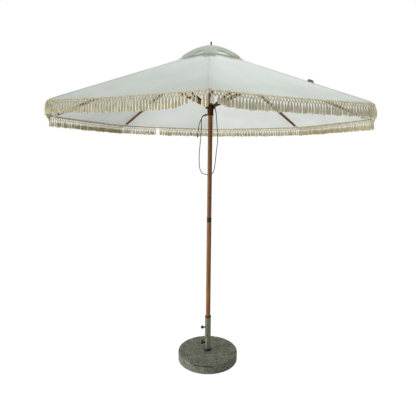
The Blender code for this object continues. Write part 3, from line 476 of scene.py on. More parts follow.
def platedSteel(name, light, dark, low, high, metal=1.0, turned=0.0):
    # zinc-plated steel: grey metal with a faint drawn grain and dull patches
    material, tree = newMaterial(name)
    spot = objectSpot(tree)
    drawn = addNode(tree, "Mapping", {"Scale": (1.0, 1.0, 0.04)}, {"Vector": spot}).outputs[0]
    lines = noiseFac(tree, drawn, 1.5, 2.0)
    links = {
        "Base Color": colourRamp(tree, noiseFac(tree, spot, 18, 3.0), [(0.3, dark), (0.7, light)]),
        "Roughness": mapRange(tree, lines, low, high),
        "Normal": addBump(tree, lines, 0.08, 0.0003),
        # fine turning marks run round the axis, so a lamp shows as an upright streak
        "Tangent": addNode(tree, "Tangent", direction_type="RADIAL", axis="Z").outputs[0],
    }
    addSurface(tree, {"Metallic": metal, "Anisotropic": turned, "Anisotropic Rotation": 0.25}, links)
    return material


def mouldedPlastic(name, light, dark):
    # injection-moulded nylon: fine spark-eroded grain, dull
    material, tree = newMaterial(name)
    spot = objectSpot(tree)
    wear = noiseFac(tree, spot, 12, 2.0)
    links = {
        "Base Color": colourRamp(tree, wear, [(0.35, dark), (0.7, light)]),
        "Roughness": mapRange(tree, wear, 0.38, 0.55),
        "Normal": addBump(tree, noiseFac(tree, spot, 0.8, 1.0), 0.15, 0.0002),
    }
    addSurface(tree, {"IOR": 1.53, "Specular IOR Level": 0.3}, links)
    return material


def flamedGranite(name):
    # flamed grey granite: crystals of about 7 mm in cloudy greys, rough and matt
    material, tree = newMaterial(name)
    spot = objectSpot(tree)
    crystal = addNode(tree, "TexVoronoi", {"Scale": noiseScale(7)}, {"Vector": spot})
    cell = addNode(tree, "SeparateColor", links={"Color": crystal.outputs["Color"]}).outputs["Red"]
    felspar = colourRamp(tree, cell, [(0.0, "#4f5146"), (0.3, "#6a6c5e"), (0.65, "#777a6b"), (0.95, "#919486")])
    tint = colourRamp(tree, noiseFac(tree, spot, 60, 4.0), [(0.3, "#b9baad"), (0.7, "#ffffff")])
    pair = {6: felspar, 7: tint}
    tone = addNode(tree, "Mix", {"Factor": 0.8}, pair, data_type="RGBA", blend_type="MULTIPLY")
    grit = noiseFac(tree, spot, 5, 4.0)
    links = {
        "Base Color": tone.outputs[2],
        "Roughness": mapRange(tree, grit, 0.7, 0.92),
        "Normal": addBump(tree, grit, 0.5, 0.0015),
    }
    addSurface(tree, {"IOR": 1.54, "Specular IOR Level": 0.3}, links)
    return material


def braidedCord(name, light, dark):
    # braided polyester cord: strands that cross every 4 mm, slight sheen
    material, tree = newMaterial(name)
    values = {"Scale": waveScale(4), "Distortion": 1.0}
    wave = addNode(tree, "TexWave", values, {"Vector": objectSpot(tree)}, bands_direction="DIAGONAL")
    braid = wave.outputs["Fac"]
    links = {
        "Base Color": colourRamp(tree, braid, [(0.2, dark), (0.8, light)]),
        "Normal": addBump(tree, braid, 0.4, 0.0006),
    }
    addSurface(tree, {"Roughness": 0.75, "Sheen Weight": 0.1}, links)
    return material


finish = {
    # the canopy's second pair of colours is painted light on its underside
    "canopy": canvasCloth("acrylicCanvas", "#e5eae5", "#dde3dd", 0.40, ("#edefed", "#e5e8e5")),
    # the cap's canvas is drawn a little greyer than the canopy's: painted shade
    "cap": canvasCloth("acrylicCanvasCap", "#e4e7e2", "#d8dcd5", 0.72),
    "tape": canvasCloth("seamTape", "#e2e7e1", "#d6dcd5", 0.2),
    # the fringe's second pair of colours is painted shade on its inward faces
    "fringe": cottonYarn("undyedCottonCord", "#efebd0", "#d8d2ae", ("#c6bd94", "#a2986f")),
    "lowerPole": oiledWood("oiledHardwoodLight", "#93642f", "#6c441c"),
    "upperPole": oiledWood("oiledHardwoodDark", "#7f5120", "#5e3b14"),
    "hub": oiledWood("stainedHubWood", "#432b0c", "#281805", shine=0.06),
    "tube": platedSteel("zincPlatedSteel", "#777666", "#525144", 0.24, 0.34, 0.8, 0.95),
    "band": platedSteel("blackenedSteel", "#3b362c", "#25221b", 0.4, 0.6),
    "knob": mouldedPlastic("blackNylon", "#0f0f0e", "#080808"),
    "collar": mouldedPlastic("brownNylon", "#24180f", "#150d08"),
    "slab": flamedGranite("flamedGranite"),
    "cord": braidedCord("braidedDarkCord", "#231c1a", "#120d0c"),
    "strap": cottonYarn("strapWebbing", "#a59d9b", "#857e7c"),
}
print("materials made:", len(finish))


# pull cord

pullCord = {
    "radius": 0.003,
    "step": 0.015,
    "pegHeight": 2.037387,
    "start": (0.0375, 0.0, 2.084287),
    "loop": [
        (0.0405, 0.001, 0.0326),
        (0.0452, 0.002, 0.0126),
        (0.0495, 0.005, -0.0360),
        (0.0545, 0.008, -0.0900),
        (0.0595, 0.012, -0.1640),
        (0.0580, 0.014, -0.2200),
        (0.0500, 0.015, -0.2970),
        (0.0430, 0.017, -0.3700),
        (0.0370, 0.019, -0.4170),
        (0.0285, 0.023, -0.4490),
        (0.0120, 0.027, -0.4670),
        (-0.0110, 0.028, -0.4700),
        (-0.0360, 0.025, -0.4670),
        (-0.0580, 0.020, -0.4590),
        (-0.0740, 0.015, -0.4390),
        (-0.0825, 0.011, -0.4050),
        (-0.0855, 0.008, -0.3490),
        (-0.0825, 0.005, -0.2700),
        (-0.0745, 0.001, -0.1850),
        (-0.0695, 0.000, -0.1200),
        (-0.0700, 0.000, -0.0620),
        (-0.0690, 0.000, -0.0310),
        (-0.0625, 0.000, -0.0130),
        (-0.0520, 0.000, -0.0045),
        (-0.0410, 0.000, -0.0015),
        (-0.0312, 0.000, 0.0000),
    ],
    "tail": [
        (-0.0312, -0.0043, -0.0052),
        (-0.0410, -0.0055, -0.0070),
        (-0.0520, -0.0066, -0.0105),
        (-0.0615, -0.0072, -0.0180),
        (-0.0690, -0.0078, -0.0300),
        (-0.0745, -0.0078, -0.0430),
        (-0.0820, -0.0078, -0.0600),
        (-0.0890, -0.0080, -0.0840),
        (-0.0930, -0.0080, -0.1200),
        (-0.0980, -0.0080, -0.1650),
    ],
    # knots drawn as trefoils: middle from the peg, half size, cord radius
    "hitch": ((-0.0345, -0.0030, -0.0030), 0.0062, 0.0027),
    "stopper": ((-0.0983, -0.0080, -0.1690), 0.0052, 0.0027),
}


def addKnot(name, middle, half, radius):
    route = []
    for at in range(42):
        turn = 2 * math.pi * at / 42
        wide = half * (math.sin(turn) + 2 * math.sin(2 * turn)) / 3
        tall = half * (math.cos(turn) - 2 * math.cos(2 * turn)) / 3
        route.append(Vector(middle) + Vector((wide, -half * 0.55 * math.sin(3 * turn), tall * 1.25)))
    piece = curvePiece(name, route, radius, 2)
    piece.data.splines[0].use_cyclic_u = True
    makeActive(piece)
    bpy.ops.object.convert(target="MESH")
    smoothByAngle(piece, 60)
    return finishPiece(piece, name, finish["cord"], "runner")


def addCords():
    rise = Vector((0.0, 0.0, pullCord["pegHeight"]))
    loop = [Vector(pullCord["start"]), *[Vector(point) + rise for point in pullCord["loop"]]]
    tail = [Vector(point) + rise for point in pullCord["tail"]]
    for name, points, node, farEnd, knot in (
        ("pullCordLoop", loop, "pull_cord", "object", "hitch"),
        ("pullCordTail", tail, "cord_tail", "knot", "stopper"),
    ):
        middle, half, radius = pullCord[knot]
        tied = addKnot(name + "Knot", Vector(middle) + rise, half, radius)
        route = smoothRoute(points, pullCord["step"])
        piece = curvePiece(name, route, pullCord["radius"])
        finishPiece(piece, name, finish["cord"], "runner", [node])


addCords()
print("pull cord laid")


# canopy: eight sewn panels with thicker hems and seams

canopy = {
    "corner": 1.25,
    "hem": 2.019,
    "fall": 0.399971,  # tangent of the rib slope
    "vent": 0.165,
    "sag": 0.010,
    "sagAtVent": 0.25,
    "inset": 0.012,
    "seamGap": 0.0005,
    "thick": 0.0010,
    "foldThick": 0.0009,
    "hemFold": 0.024,
    "seamFold": 0.014,
    "ventFold": 0.012,
    "ripple": 0.0028,
    "furled": 0.13,
}
apexHeight = canopy["hem"] + canopy["corner"] * canopy["fall"]
panelFall = canopy["fall"] / math.cos(halfTurn)
hemReach = canopy["corner"] * math.cos(halfTurn)
ventReach = canopy["vent"] * math.cos(halfTurn)
hemHalf = canopy["corner"] * math.sin(halfTurn)
panelSlant = (hemReach - ventReach) * math.hypot(1.0, panelFall)


def panelPoint(across, along):
    crown = 1 - across**2
    reach = ventReach + along * (hemReach - canopy["inset"] * crown - ventReach)
    half = reach * math.tan(halfTurn) - canopy["seamGap"] / math.cos(halfTurn)
    sag = canopy["sag"] * crown * (canopy["sagAtVent"] + (1 - canopy["sagAtVent"]) * along)
    return Vector((reach, across * half, apexHeight - panelFall * reach - sag))


def spread(count, low=-1.0, high=1.0):
    return [low + (high - low) * at / count for at in range(count + 1)]


def ease(low, high, value):
    share = min(max((value - low) / (high - low), 0.0), 1.0)
    return share * share * (3 - 2 * share)


def clothShell(name, rows, drops, uvRows):
    # top and bottom skins of a sheet, joined round the edge
    high, wide = len(rows), len(rows[0])
    points = [point for row in rows for point in row]
    points += [point - Vector((0, 0, drop)) for row, deep in zip(rows, drops) for point, drop in zip(row, deep)]
    under = high * wide
    faces = []
    for y in range(high - 1):
        for x in range(wide - 1):
            a, b = y * wide + x, (y + 1) * wide + x
            faces.append((a, b, b + 1, a + 1))
            faces.append((under + a, under + a + 1, under + b + 1, under + b))
    rim = [x for x in range(wide)]
    rim += [y * wide + wide - 1 for y in range(1, high)]
    rim += [(high - 1) * wide + x for x in range(wide - 2, -1, -1)]
    rim += [y * wide for y in range(high - 2, 0, -1)]
    for a, b in zip(rim, [*rim[1:], rim[0]]):
        faces.append((a, b, under + b, under + a))
    piece = meshPiece(name, points, faces)
    layer = piece.data.uv_layers.new(name="UVMap")
    flat = [uv for row in uvRows for uv in row]
    for loop in piece.data.loops:
        layer.data[loop.index].uv = flat[loop.vertex_index % under]
    smoothByAngle(piece, 50)
    return piece


def clothRipple(panel, across, along):
    # tension lines run from the corners, and slack ripples cross the lower half
    crown = (1 - across**2) ** 1.5
    place = Vector((across * 1.6 + 7.1 * panel, along * 2.2, 0.3 * panel))
    slack = noise.noise(place * 1.3) * 0.9 + noise.noise(place * 3.1) * 0.35
    fan = math.sin(26 * (1 - abs(across)) * (0.35 + along)) * ease(0.55, 1.0, along) * 0.16
    return canopy["ripple"] * crown * (0.3 + 0.7 * along) * (slack + fan)


def addPanels():
    nearSeam = [0.0, 0.006, 0.012, 0.016, 0.02, 0.03, 0.05]
    across = [-1 + near for near in nearSeam] + spread(26, -0.9, 0.9) + [1 - near for near in reversed(nearSeam)]
    along = [0.0, 0.005, 0.010, 0.013] + spread(26, 0.03, 0.95) + [0.962, 0.970, 0.975, 0.979, 0.985, 0.992, 1.0]
    panels = []
    for panel in range(1, ribCount + 1):
        turn = Matrix.Rotation(panelAngle(panel), 3, "Z")
        rows, drops, uvs = [], [], []
        for share in along:
            row, drop, uv = [], [], []
            for side in across:
                point = panelPoint(side, share)
                fromHem = (1 - share) * panelSlant
                fromVent = share * panelSlant
                fromSeam = (1 - abs(side)) * point.x * math.tan(halfTurn)
                fold = max(
                    1 - ease(canopy["hemFold"] - 0.003, canopy["hemFold"] + 0.001, fromHem),
                    1 - ease(canopy["seamFold"] - 0.003, canopy["seamFold"] + 0.001, fromSeam),
                    1 - ease(canopy["ventFold"] - 0.002, canopy["ventFold"] + 0.001, fromVent),
                )
                point.z += clothRipple(panel, side, share)
                row.append(turn @ point)
                drop.append(canopy["thick"] + canopy["foldThick"] * fold)
                uv.append((side * point.x * math.tan(halfTurn), fromVent))
            rows.append(row)
            drops.append(drop)
            uvs.append(uv)
        name = "canopyPanel" + str(panel)
        node = "canopy_panel_" + str(panel)
        piece = clothShell(name, rows, drops, uvs)
        finishPiece(piece, name, finish["canopy"], node, [node])
        furl(piece)
        panels.append(piece)
    return panels


def furl(piece):
    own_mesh(piece)


# fringe: knotted cotton cord, two rows of diamonds over a row of tassels

fringe = {
    "perEdge": 54,
    "endGap": 0.003,
    "gap": 0.0004,
    "swing": 0.0022,
    "bow": 0.0016,
    "headDrops": [0.0004, 0.0018, 0.0045, 0.0075, 0.0095],
    "headThick": [0.0006, 0.0014, 0.0017, 0.0016, 0.0008],
    "firstKnot": 0.0175,
    "secondKnot": 0.0330,
    "length": 0.0855,
    "lengthSpread": 0.0035,
    "strand": 0.0031,
    "knot": 0.0045,
    # share of the tassel's length, radius
    "tassel": [
        (0.0, 0.0034), (0.07, 0.0050), (0.16, 0.0044), (0.32, 0.0068), (0.62, 0.0082), (0.9, 0.0080), (1.0, 0.0066)
    ],
    "flare": 0.0255,
    "flareFall": 0.018,
    "lost": {5: (33, 34)},  # gaps that show at the back
    # worn short beside the front corner: panel, first, shortest and last tassel, most that is missing
    "worn": [(8, 43, 48, 51, 0.024), (1, 6, 2, 0, 0.016)],
    "bare": {8: (48, 51), 1: (1,)},  # tassels pulled out there, with only the net left
}


def fringePoint(side, drop):
    # side runs along the hem and drop down from it; the fringe stands off as it falls
    out = fringe["flare"] * (1 - math.exp(-max(drop, 0.0) / fringe["flareFall"]))
    hem = panelPoint(side / hemHalf, 1.0)
    wider = (hemHalf + out * math.tan(halfTurn)) / hemHalf
    return Vector((hem.x + fringe["gap"] + out, side * wider, hem.z - drop))


def addTube(points, faces, route, radii, sides, lobe=1.0):
    first = len(points)
    for at, (spot, radius) in enumerate(zip(route, radii)):
        ahead = route[min(at + 1, len(route) - 1)] - route[max(at - 1, 0)]
        across = ahead.cross(Vector((1.0, 0.0, 0.0))).normalized()
        out = across.cross(ahead).normalized()
        for turn in range(sides):
            angle = 2 * math.pi * turn / sides
            reach = radius * (lobe if turn % 2 else 1.0)
            points.append(spot + reach * (math.cos(angle) * across + math.sin(angle) * out))
    linkRings(faces, first, len(route), sides)


def addHeading(points, faces):
    columns = spread(44, -hemHalf + 0.001, hemHalf - 0.001)
    drops, thick = fringe["headDrops"], fringe["headThick"]
    outline = [(drop, deep) for drop, deep in zip(drops, thick)] + [(drop, 0.0) for drop in reversed(drops)]
    first = len(points)
    for side in columns:
        for drop, deep in outline:
            points.append(fringePoint(side, drop) + Vector((deep, 0.0, 0.0)))
    linkRings(faces, first, len(columns), len(outline), flipped=True)


def wornAway(panel, at):
    for worn, begin, full, end, most in fringe["worn"]:
        if worn == panel and (at - begin) / (end - begin) <= 1:
            share = (at - begin) / (full - begin)
            return most * min(max(share, 0.0), 1.0)
    return 0.0


def addFringes():
    fringes = []
    pitch = 2 * (hemHalf - fringe["endGap"]) / fringe["perEdge"]
    for panel in range(1, ribCount + 1):
        rng = random.Random(400 + panel)
        points, faces = [], []
        addHeading(points, faces)
        knots = [-hemHalf + fringe["endGap"] + at * pitch for at in range(fringe["perEdge"] + 1)]
        for side in knots:
            middle = fringePoint(side, fringe["firstKnot"])
            rise = Vector((0.0, 0.0, fringe["knot"]))
            route = [middle + rise * share for share in (1.0, 0.45, -0.45, -1.0)]
            addTube(points, faces, route, [fringe["knot"] * share for share in (0.5, 1.0, 1.0, 0.5)], 6)
        for at in range(fringe["perEdge"]):
            if at in fringe["lost"].get(panel, ()):
                continue
            middle = (knots[at] + knots[at + 1]) / 2
            swing = rng.uniform(-fringe["swing"], fringe["swing"])
            top = fringePoint(middle, fringe["headDrops"][-2])
            foot = fringePoint(middle, fringe["secondKnot"])
            for side in (knots[at], knots[at + 1]):
                knot = fringePoint(side, fringe["firstKnot"])
                for end, bow in ((top, fringe["bow"]), (foot, -fringe["bow"])):
                    belly = (end + knot) / 2 + Vector((0.0015, 0.0, bow))
                    addTube(points, faces, [end, belly, knot], [fringe["strand"]] * 3, 4)
            if at in fringe["bare"].get(panel, ()):
                continue
            length = fringe["length"] + rng.uniform(-1, 1) * fringe["lengthSpread"] - wornAway(panel, at)
            fat = rng.uniform(0.86, 1.14)
            route, radii = [], []
            for share, radius in fringe["tassel"]:
                drop = fringe["secondKnot"] - 0.002 + share * (length - fringe["secondKnot"])
                route.append(fringePoint(middle + swing * share, drop))
                radii.append(radius * fat)
            addTube(points, faces, route, radii, 8, 0.8)
        turn = Matrix.Rotation(panelAngle(panel), 3, "Z")
        name = "fringe" + str(panel)
        piece = meshPiece(name, [turn @ point for point in points], faces)
        smoothByAngle(piece, 60)
        node = "fringe_" + str(panel)
        finishPiece(piece, name, finish["fringe"], node, [node])
        furl(piece)
        fringes.append(piece)
    return fringes


canopyPanels = addPanels()
canopyFringes = addFringes()
print("canopy and fringe sewn")


# seam tapes over the ribs, and the pockets that hold the rib tips

seams = {
    "half": 0.008,
    "lift": 0.0002,
    "thick": 0.0006,
    "welt": 0.0012,
    "from": 0.168,
    "to": 1.2495,
    "pivot": (0.031, 2.494341),
    "slope": math.atan(0.399971),
    "pocketFrom": 1.256,
    "pocketTo": 1.3046,
    "pocketHalf": 0.0084,
    "pocketTop": 0.0092,
    "pocketFoot": -0.0088,
    "sleeveFrom": 0.0200,
    "sleeveTo": 0.1420,
    "sleeveTop": 0.0106,
    "cloth": 0.0009,
}


def addTapes():
    sides = [-1.0, -0.6, -0.25, 0.0, 0.25, 0.6, 1.0]
    for rib in range(1, ribCount + 1):
        turn = Matrix.Rotation(ribAngle(rib), 3, "Z")
        rows, drops, uvs = [], [], []
        for radius in spread(40, seams["from"], seams["to"]):
            row, uv = [], []
            for side in sides:
                offset = side * seams["half"]
                reach = radius * math.cos(halfTurn) + abs(offset) * math.sin(halfTurn)
                height = apexHeight - panelFall * reach + seams["lift"] + seams["thick"]
                height += seams["welt"] * (1 - abs(side)) ** 2
                row.append(turn @ Vector((radius, offset, height)))
                uv.append((offset, radius))
            rows.append(row)
            drops.append([seams["thick"]] * len(sides))
            uvs.append(uv)
        name = "seamTape" + str(rib)
        piece = clothShell(name, rows, drops, uvs)
        finishPiece(piece, name, finish["tape"], "rib_" + str(rib))


def ribPlace(rib):
    # the rib's own frame: x along it from its pivot, z square to it
    place = Matrix.Rotation(ribAngle(rib), 4, "Z")
    place = place @ Matrix.Translation((seams["pivot"][0], 0.0, seams["pivot"][1]))
    return place @ Matrix.Rotation(seams["slope"], 4, "Y")


def addChannel(name, rib, bend, stations, closed):
    # cloth sewn round a rib: the bend is (side, height) pairs from the rib's own line
    place = ribPlace(rib)
    points, faces = [], []
    for at, x in enumerate(stations):
        tight = 1.0 if at in (0, len(stations) - 1) else 0.97
        points += [place @ Vector((x, side * tight, z)) for side, z in bend]
    wide = len(bend)
    for row in range(len(stations) - 1):
        for at in range(wide - 1):
            a = row * wide + at
            faces.append((a, a + 1, a + 1 + wide, a + wide))
    if closed:
        faces.append(tuple((len(stations) - 1) * wide + at for at in range(wide)))
    piece = meshPiece(name, points, faces)
    shell = piece.modifiers.new("cloth", "SOLIDIFY")
    shell.thickness = seams["cloth"]
    shell.offset = 0
    applyModifiers(piece)
    smoothByAngle(piece, 40)
    finishPiece(piece, name, finish["tape"], "rib_" + str(rib))


def channelBend(half, rim, crest):
    turns = ((-1.0, 0.4), (-0.86, 0.85), (-0.45, 1.0), (0.45, 1.0), (0.86, 0.85), (1.0, 0.4))
    return [(-half, rim), *[(half * side, crest * share) for side, share in turns], (half, rim)]


def addPockets():
    # a pocket under each rib tip, and a sleeve over each rib between the vent and the hub
    half, top, foot = seams["pocketHalf"], seams["pocketTop"], seams["pocketFoot"]
    begin, end = seams["pocketFrom"], seams["pocketTo"]
    start, stop = seams["sleeveFrom"], seams["sleeveTo"]
    for rib in range(1, ribCount + 1):
        pocket = [begin, begin + 0.004, end - 0.004, end]
        addChannel("ribPocket" + str(rib), rib, channelBend(half, top, foot), pocket, True)
        sleeve = [start, start + 0.004, *spread(6, start + 0.015, stop - 0.015), stop - 0.004, stop]
        addChannel("ribSleeve" + str(rib), rib, channelBend(half, foot, seams["sleeveTop"]), sleeve, False)


addTapes()
addPockets()
print("seam tapes and rib pockets sewn")


# vent cap: a scalloped dome in eight gores

ventCap = {
    "apex": 2.555964,
    "topSlope": 0.23,
    "corner": 0.281,
    "cornerLift": 0.0225,
    "scallop": 0.190,
    "hole": 0.0075,
    "tongue": (0.36, 0.68),
    "slackTongues": {(8, -1): (0.02, 0.50), (1, 1): (0.10, 0.58)},  # panel and side, pulled wide at the front
    "hemMiddle": 0.010,
    "hemCorner": 0.0200,
    "hemFlare": 0.002,
    "hemFold": 0.013,
    "sag": 0.004,
    "thick": 0.0010,
    "foldThick": 0.0008,
    "welt": 0.0012,
    "ripple": 0.0022,
    "gather": 0.0016,
    "bendFrom": 0.036,
    "bendTo": 0.200,
}
cornerHeight = apexHeight - ventCap["corner"] * canopy["fall"] + ventCap["cornerLift"]
capBend = (ventCap["apex"] - cornerHeight - ventCap["topSlope"] * ventCap["corner"]) / ventCap["corner"] ** 2
cornerReach = ventCap["corner"] * math.cos(halfTurn)


def capHeight(radius):
    return ventCap["apex"] - ventCap["topSlope"] * radius - capBend * radius**2


def capPoint(panel, across, along):
    hole = ventCap["hole"] * math.cos(halfTurn)
    begin, full = ventCap["slackTongues"].get((panel, 1 if across > 0 else -1), ventCap["tongue"])
    tongue = ease(begin, full, abs(across))
    edge = ventCap["scallop"] + (cornerReach - ventCap["scallop"]) * tongue
    reach = hole + along * (edge - hole)
    side = across * reach * math.tan(halfTurn)
    radius = reach / math.cos(halfTurn)
    crown = 1 - across**2
    height = capHeight(radius) - ventCap["sag"] * crown * ease(0.1, 1.0, along)
    place = Vector((3.7 * panel + across * 1.3, reach * 16, 0.4 * panel))
    height += ventCap["ripple"] * noise.noise(place) * ease(0.0, 0.3, crown) * ease(0.1, 0.5, along)
    pleat = math.sin(9 * math.pi * across + panel)
    height += ventCap["gather"] * pleat * ease(0.012, 0.03, radius) * (1 - ease(0.03, 0.09, radius)) * crown
    fromRidge = (1 - abs(across)) * reach * math.tan(halfTurn)
    height += ventCap["welt"] * (1 - ease(0.001, 0.007, fromRidge)) * ease(0.012, 0.04, radius)
    return Vector((reach, side, height))


def capHem(panel, across, share):
    flare = ventCap["hemFlare"] * math.cos(halfTurn) * share
    drop = (ventCap["hemMiddle"] + (ventCap["hemCorner"] - ventCap["hemMiddle"]) * across**6) * share
    return capPoint(panel, across, 1.0) + Vector((flare, across * flare * math.tan(halfTurn), -drop))


def addCap():
    half = spread(12, 0.0, 0.9) + [0.94, 0.965, 0.982, 1.0]
    along = [0.0, 0.03, 0.06, 0.1] + spread(15, 0.15, 0.9) + [0.93, 0.955, 0.97, 0.985, 1.0]
    for rib in range(1, ribCount + 1):
        before = (rib - 2) % ribCount + 1
        columns = [(before, side) for side in half] + [(rib, -side) for side in reversed(half[:-1])]
        turns = {panel: Matrix.Rotation(panelAngle(panel), 3, "Z") for panel in (before, rib)}
        rows, drops, uvs = [], [], []
        for share in along:
            rows.append([turns[panel] @ capPoint(panel, side, share) for panel, side in columns])
        for share in (0.35, 1.0):
            rows.append([turns[panel] @ capHem(panel, side, share) for panel, side in columns])
        edge = rows[-3]
        for row in rows:
            deep = []
            for point, rim in zip(row, edge):
                fold = 1 - ease(ventCap["hemFold"] - 0.002, ventCap["hemFold"] + 0.001, (point - rim).length)
                deep.append(ventCap["thick"] + ventCap["foldThick"] * fold)
            drops.append(deep)
            uvs.append([(point.x, point.y) for point in row])
        name = "ventCapGore" + str(rib)
        piece = clothShell(name, rows, drops, uvs)
        piece.data.materials.append(finish["cap"])
        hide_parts("vent_cap")
        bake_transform(piece)


addCap()
print("vent cap sewn")


# pole in two lengths, with the joint between them

pole = {
    "lowerRadius": 0.019,
    "lowerFoot": 0.0058,
    "lowerTop": 1.1847,
    "bandRadius": 0.0195,
    "bandFoot": 1.185,
    "bandTop": 1.221,
    "bead": 0.0045,
    "groove": 0.0006,
    "spigot": 0.011,
    "spigotReach": 0.080,
    "fit": 0.0003,
    "upperRadius": 0.018,
    "upperFoot": 1.2213,
    "shoulder": 2.478041,
    "dowel": 0.0155,
    "dowelTop": 2.500341,
    "pulleyHeight": 2.442341,
    "slotHalfWide": 0.005,
    "slotHalfTall": 0.020,
    "axleHole": 0.0028,
    "edge": 0.0012,
    "steps": 64,
}


def addPole():
    edge, bore = pole["edge"], pole["spigot"] + pole["fit"]
    radius, foot, top = pole["lowerRadius"], pole["lowerFoot"], pole["lowerTop"]
    outline = [(0.0, foot), (radius - edge, foot), (radius, foot + edge), (radius, top - edge), (radius - edge, top)]
    outline += [(bore, top), (bore, top - pole["spigotReach"]), (0.0, top - pole["spigotReach"])]
    addTurned("lowerPole", outline, pole["steps"], "lowerPole", "lower_pole", ["lower_pole"])

    wide, low, high, spigot = pole["bandRadius"], pole["bandFoot"], pole["bandTop"], pole["spigot"]
    bead, groove = pole["bead"], pole["groove"]
    spigotFoot = top - pole["spigotReach"] + pole["fit"]
    spigotTop = high + pole["spigotReach"]
    outline = [
        (0.0, spigotFoot), (spigot - 0.001, spigotFoot), (spigot, spigotFoot + 0.001), (spigot, low),
        (wide - groove, low), (wide, low + groove), (wide, low + bead), (wide - groove, low + bead + groove),
        (wide - groove, high - bead - groove), (wide, high - bead), (wide, high - groove), (wide - groove, high),
        (spigot, high), (spigot, spigotTop - 0.002), (spigot - 0.002, spigotTop), (0.0, spigotTop),
    ]
    addTurned("poleFerrule", outline, pole["steps"], "band", "lower_pole", ["joint_ferrule"])

    radius, foot = pole["upperRadius"], pole["upperFoot"]
    boreTop = spigotTop + pole["fit"]
    shoulder, dowel = pole["shoulder"], pole["dowel"]
    outline = [
        (0.0, boreTop), (bore, boreTop), (bore, foot), (radius - edge, foot), (radius, foot + edge),
        (radius, shoulder - edge), (radius - edge, shoulder), (dowel, shoulder), (dowel, pole["dowelTop"]),
        (0.0, pole["dowelTop"]),
    ]
    piece = turnProfile("upperPole", outline, pole["steps"])
    reach, half, tall, middle = 0.03, pole["slotHalfWide"], pole["slotHalfTall"], pole["pulleyHeight"]
    cutAway(piece, addBlock((-reach, -half, middle - tall), (reach, half, middle + tall)))
    cutAway(piece, addRod(pole["axleHole"], (0.0, -reach, middle), (0.0, reach, middle), 24))
    smoothByAngle(piece)
    finishPiece(piece, "upperPole", finish["upperPole"], "upper_pole", ["upper_pole"])


addPole()
print("pole turned")


# hub under the cap, finial over it, and the runner with its peg

head = {
    "radius": 0.040,
    "foot": 2.478341,
    "slotTop": 2.503641,
    "plateTop": 2.512641,
    "bore": 0.0158,
    "boreTop": 2.500641,
    "wireIn": 0.0291,
    "wireOut": 0.0329,
    "wireTop": 2.496241,
    "bossRoot": 0.030,
    "bossTop": 0.014,
    "bossSink": 0.0024,
    "studHole": 0.0043,
    "studFoot": 2.535664,
    "slotIn": 0.0217,
    "slotHalf": 0.0049,
    "round": 0.0009,
    "steps": 64,
    # finial outline from the cap's apex: radius, height
    "finial": [
        (0.0, -0.020), (0.0035, -0.020), (0.004, -0.0195), (0.004, -0.0015), (0.0094, -0.0015), (0.0100, -0.0008),
        (0.0100, 0.0002), (0.0092, 0.0010), (0.0072, 0.0022), (0.0060, 0.0042), (0.0055, 0.0090), (0.0057, 0.0150),
        (0.0060, 0.0196), (0.0057, 0.0220), (0.0047, 0.0240), (0.0028, 0.0252), (0.0, 0.0256),
    ],
}

runner = {
    "bore": 0.0188,
    "foot": 2.031887,
    "neck": 0.0235,
    "bead": 0.0262,
    "beadTall": 0.009,
    "flare": 0.030,
    "flareTall": 0.010,
    "crown": 0.040,
    "crownFoot": 2.084887,
    "top": 2.112187,
    "wireFloor": 2.098787,
    "slotIn": 0.0232,
    "slotHalf": 0.0049,
    "slotFloor": 2.092887,
    "round": 0.0010,
    "pegHeight": 2.037387,
    # peg outline: radius, distance from the pole axis
    "peg": [(0.0, 0.0188), (0.003, 0.0188), (0.003, 0.0270), (0.0044, 0.0270), (0.005, 0.0277), (0.005, 0.0290),
            (0.0042, 0.0298), (0.002, 0.0300), (0.0, 0.0300)],
}


def addHub():
    boss, stud = head["bossTop"], head["studHole"]
    under = {radius: capHeight(radius / math.cos(halfTurn)) - head["bossSink"] for radius in (boss, stud)}
    outline = [
        (0.0, head["boreTop"]), (head["bore"], head["boreTop"]), (head["bore"], head["foot"]),
        (head["wireIn"], head["foot"]), (head["wireIn"], head["wireTop"]), (head["wireOut"], head["wireTop"]),
        (head["wireOut"], head["foot"]), (head["radius"], head["foot"]), (head["radius"], head["slotTop"]),
        (head["bossRoot"], head["plateTop"]), (boss, under[boss]), (stud, under[stud]), (stud, head["studFoot"]),
        (0.0, head["studFoot"]),
    ]
    piece = turnProfile("topHub", outline, head["steps"])
    cutAway(piece, radialSlots(head["slotIn"], 0.05, head["slotHalf"], head["foot"] - 0.01, head["slotTop"]))
    bevelEdges(piece, head["round"] * 0.6, 2, 50)
    finishPiece(piece, "topHub", finish["hub"], "upper_pole", ["top_hub"])
    outline = [(radius, ventCap["apex"] + height) for radius, height in head["finial"]]
    addTurned("finial", outline, 40, "hub", "upper_pole", ["finial"])


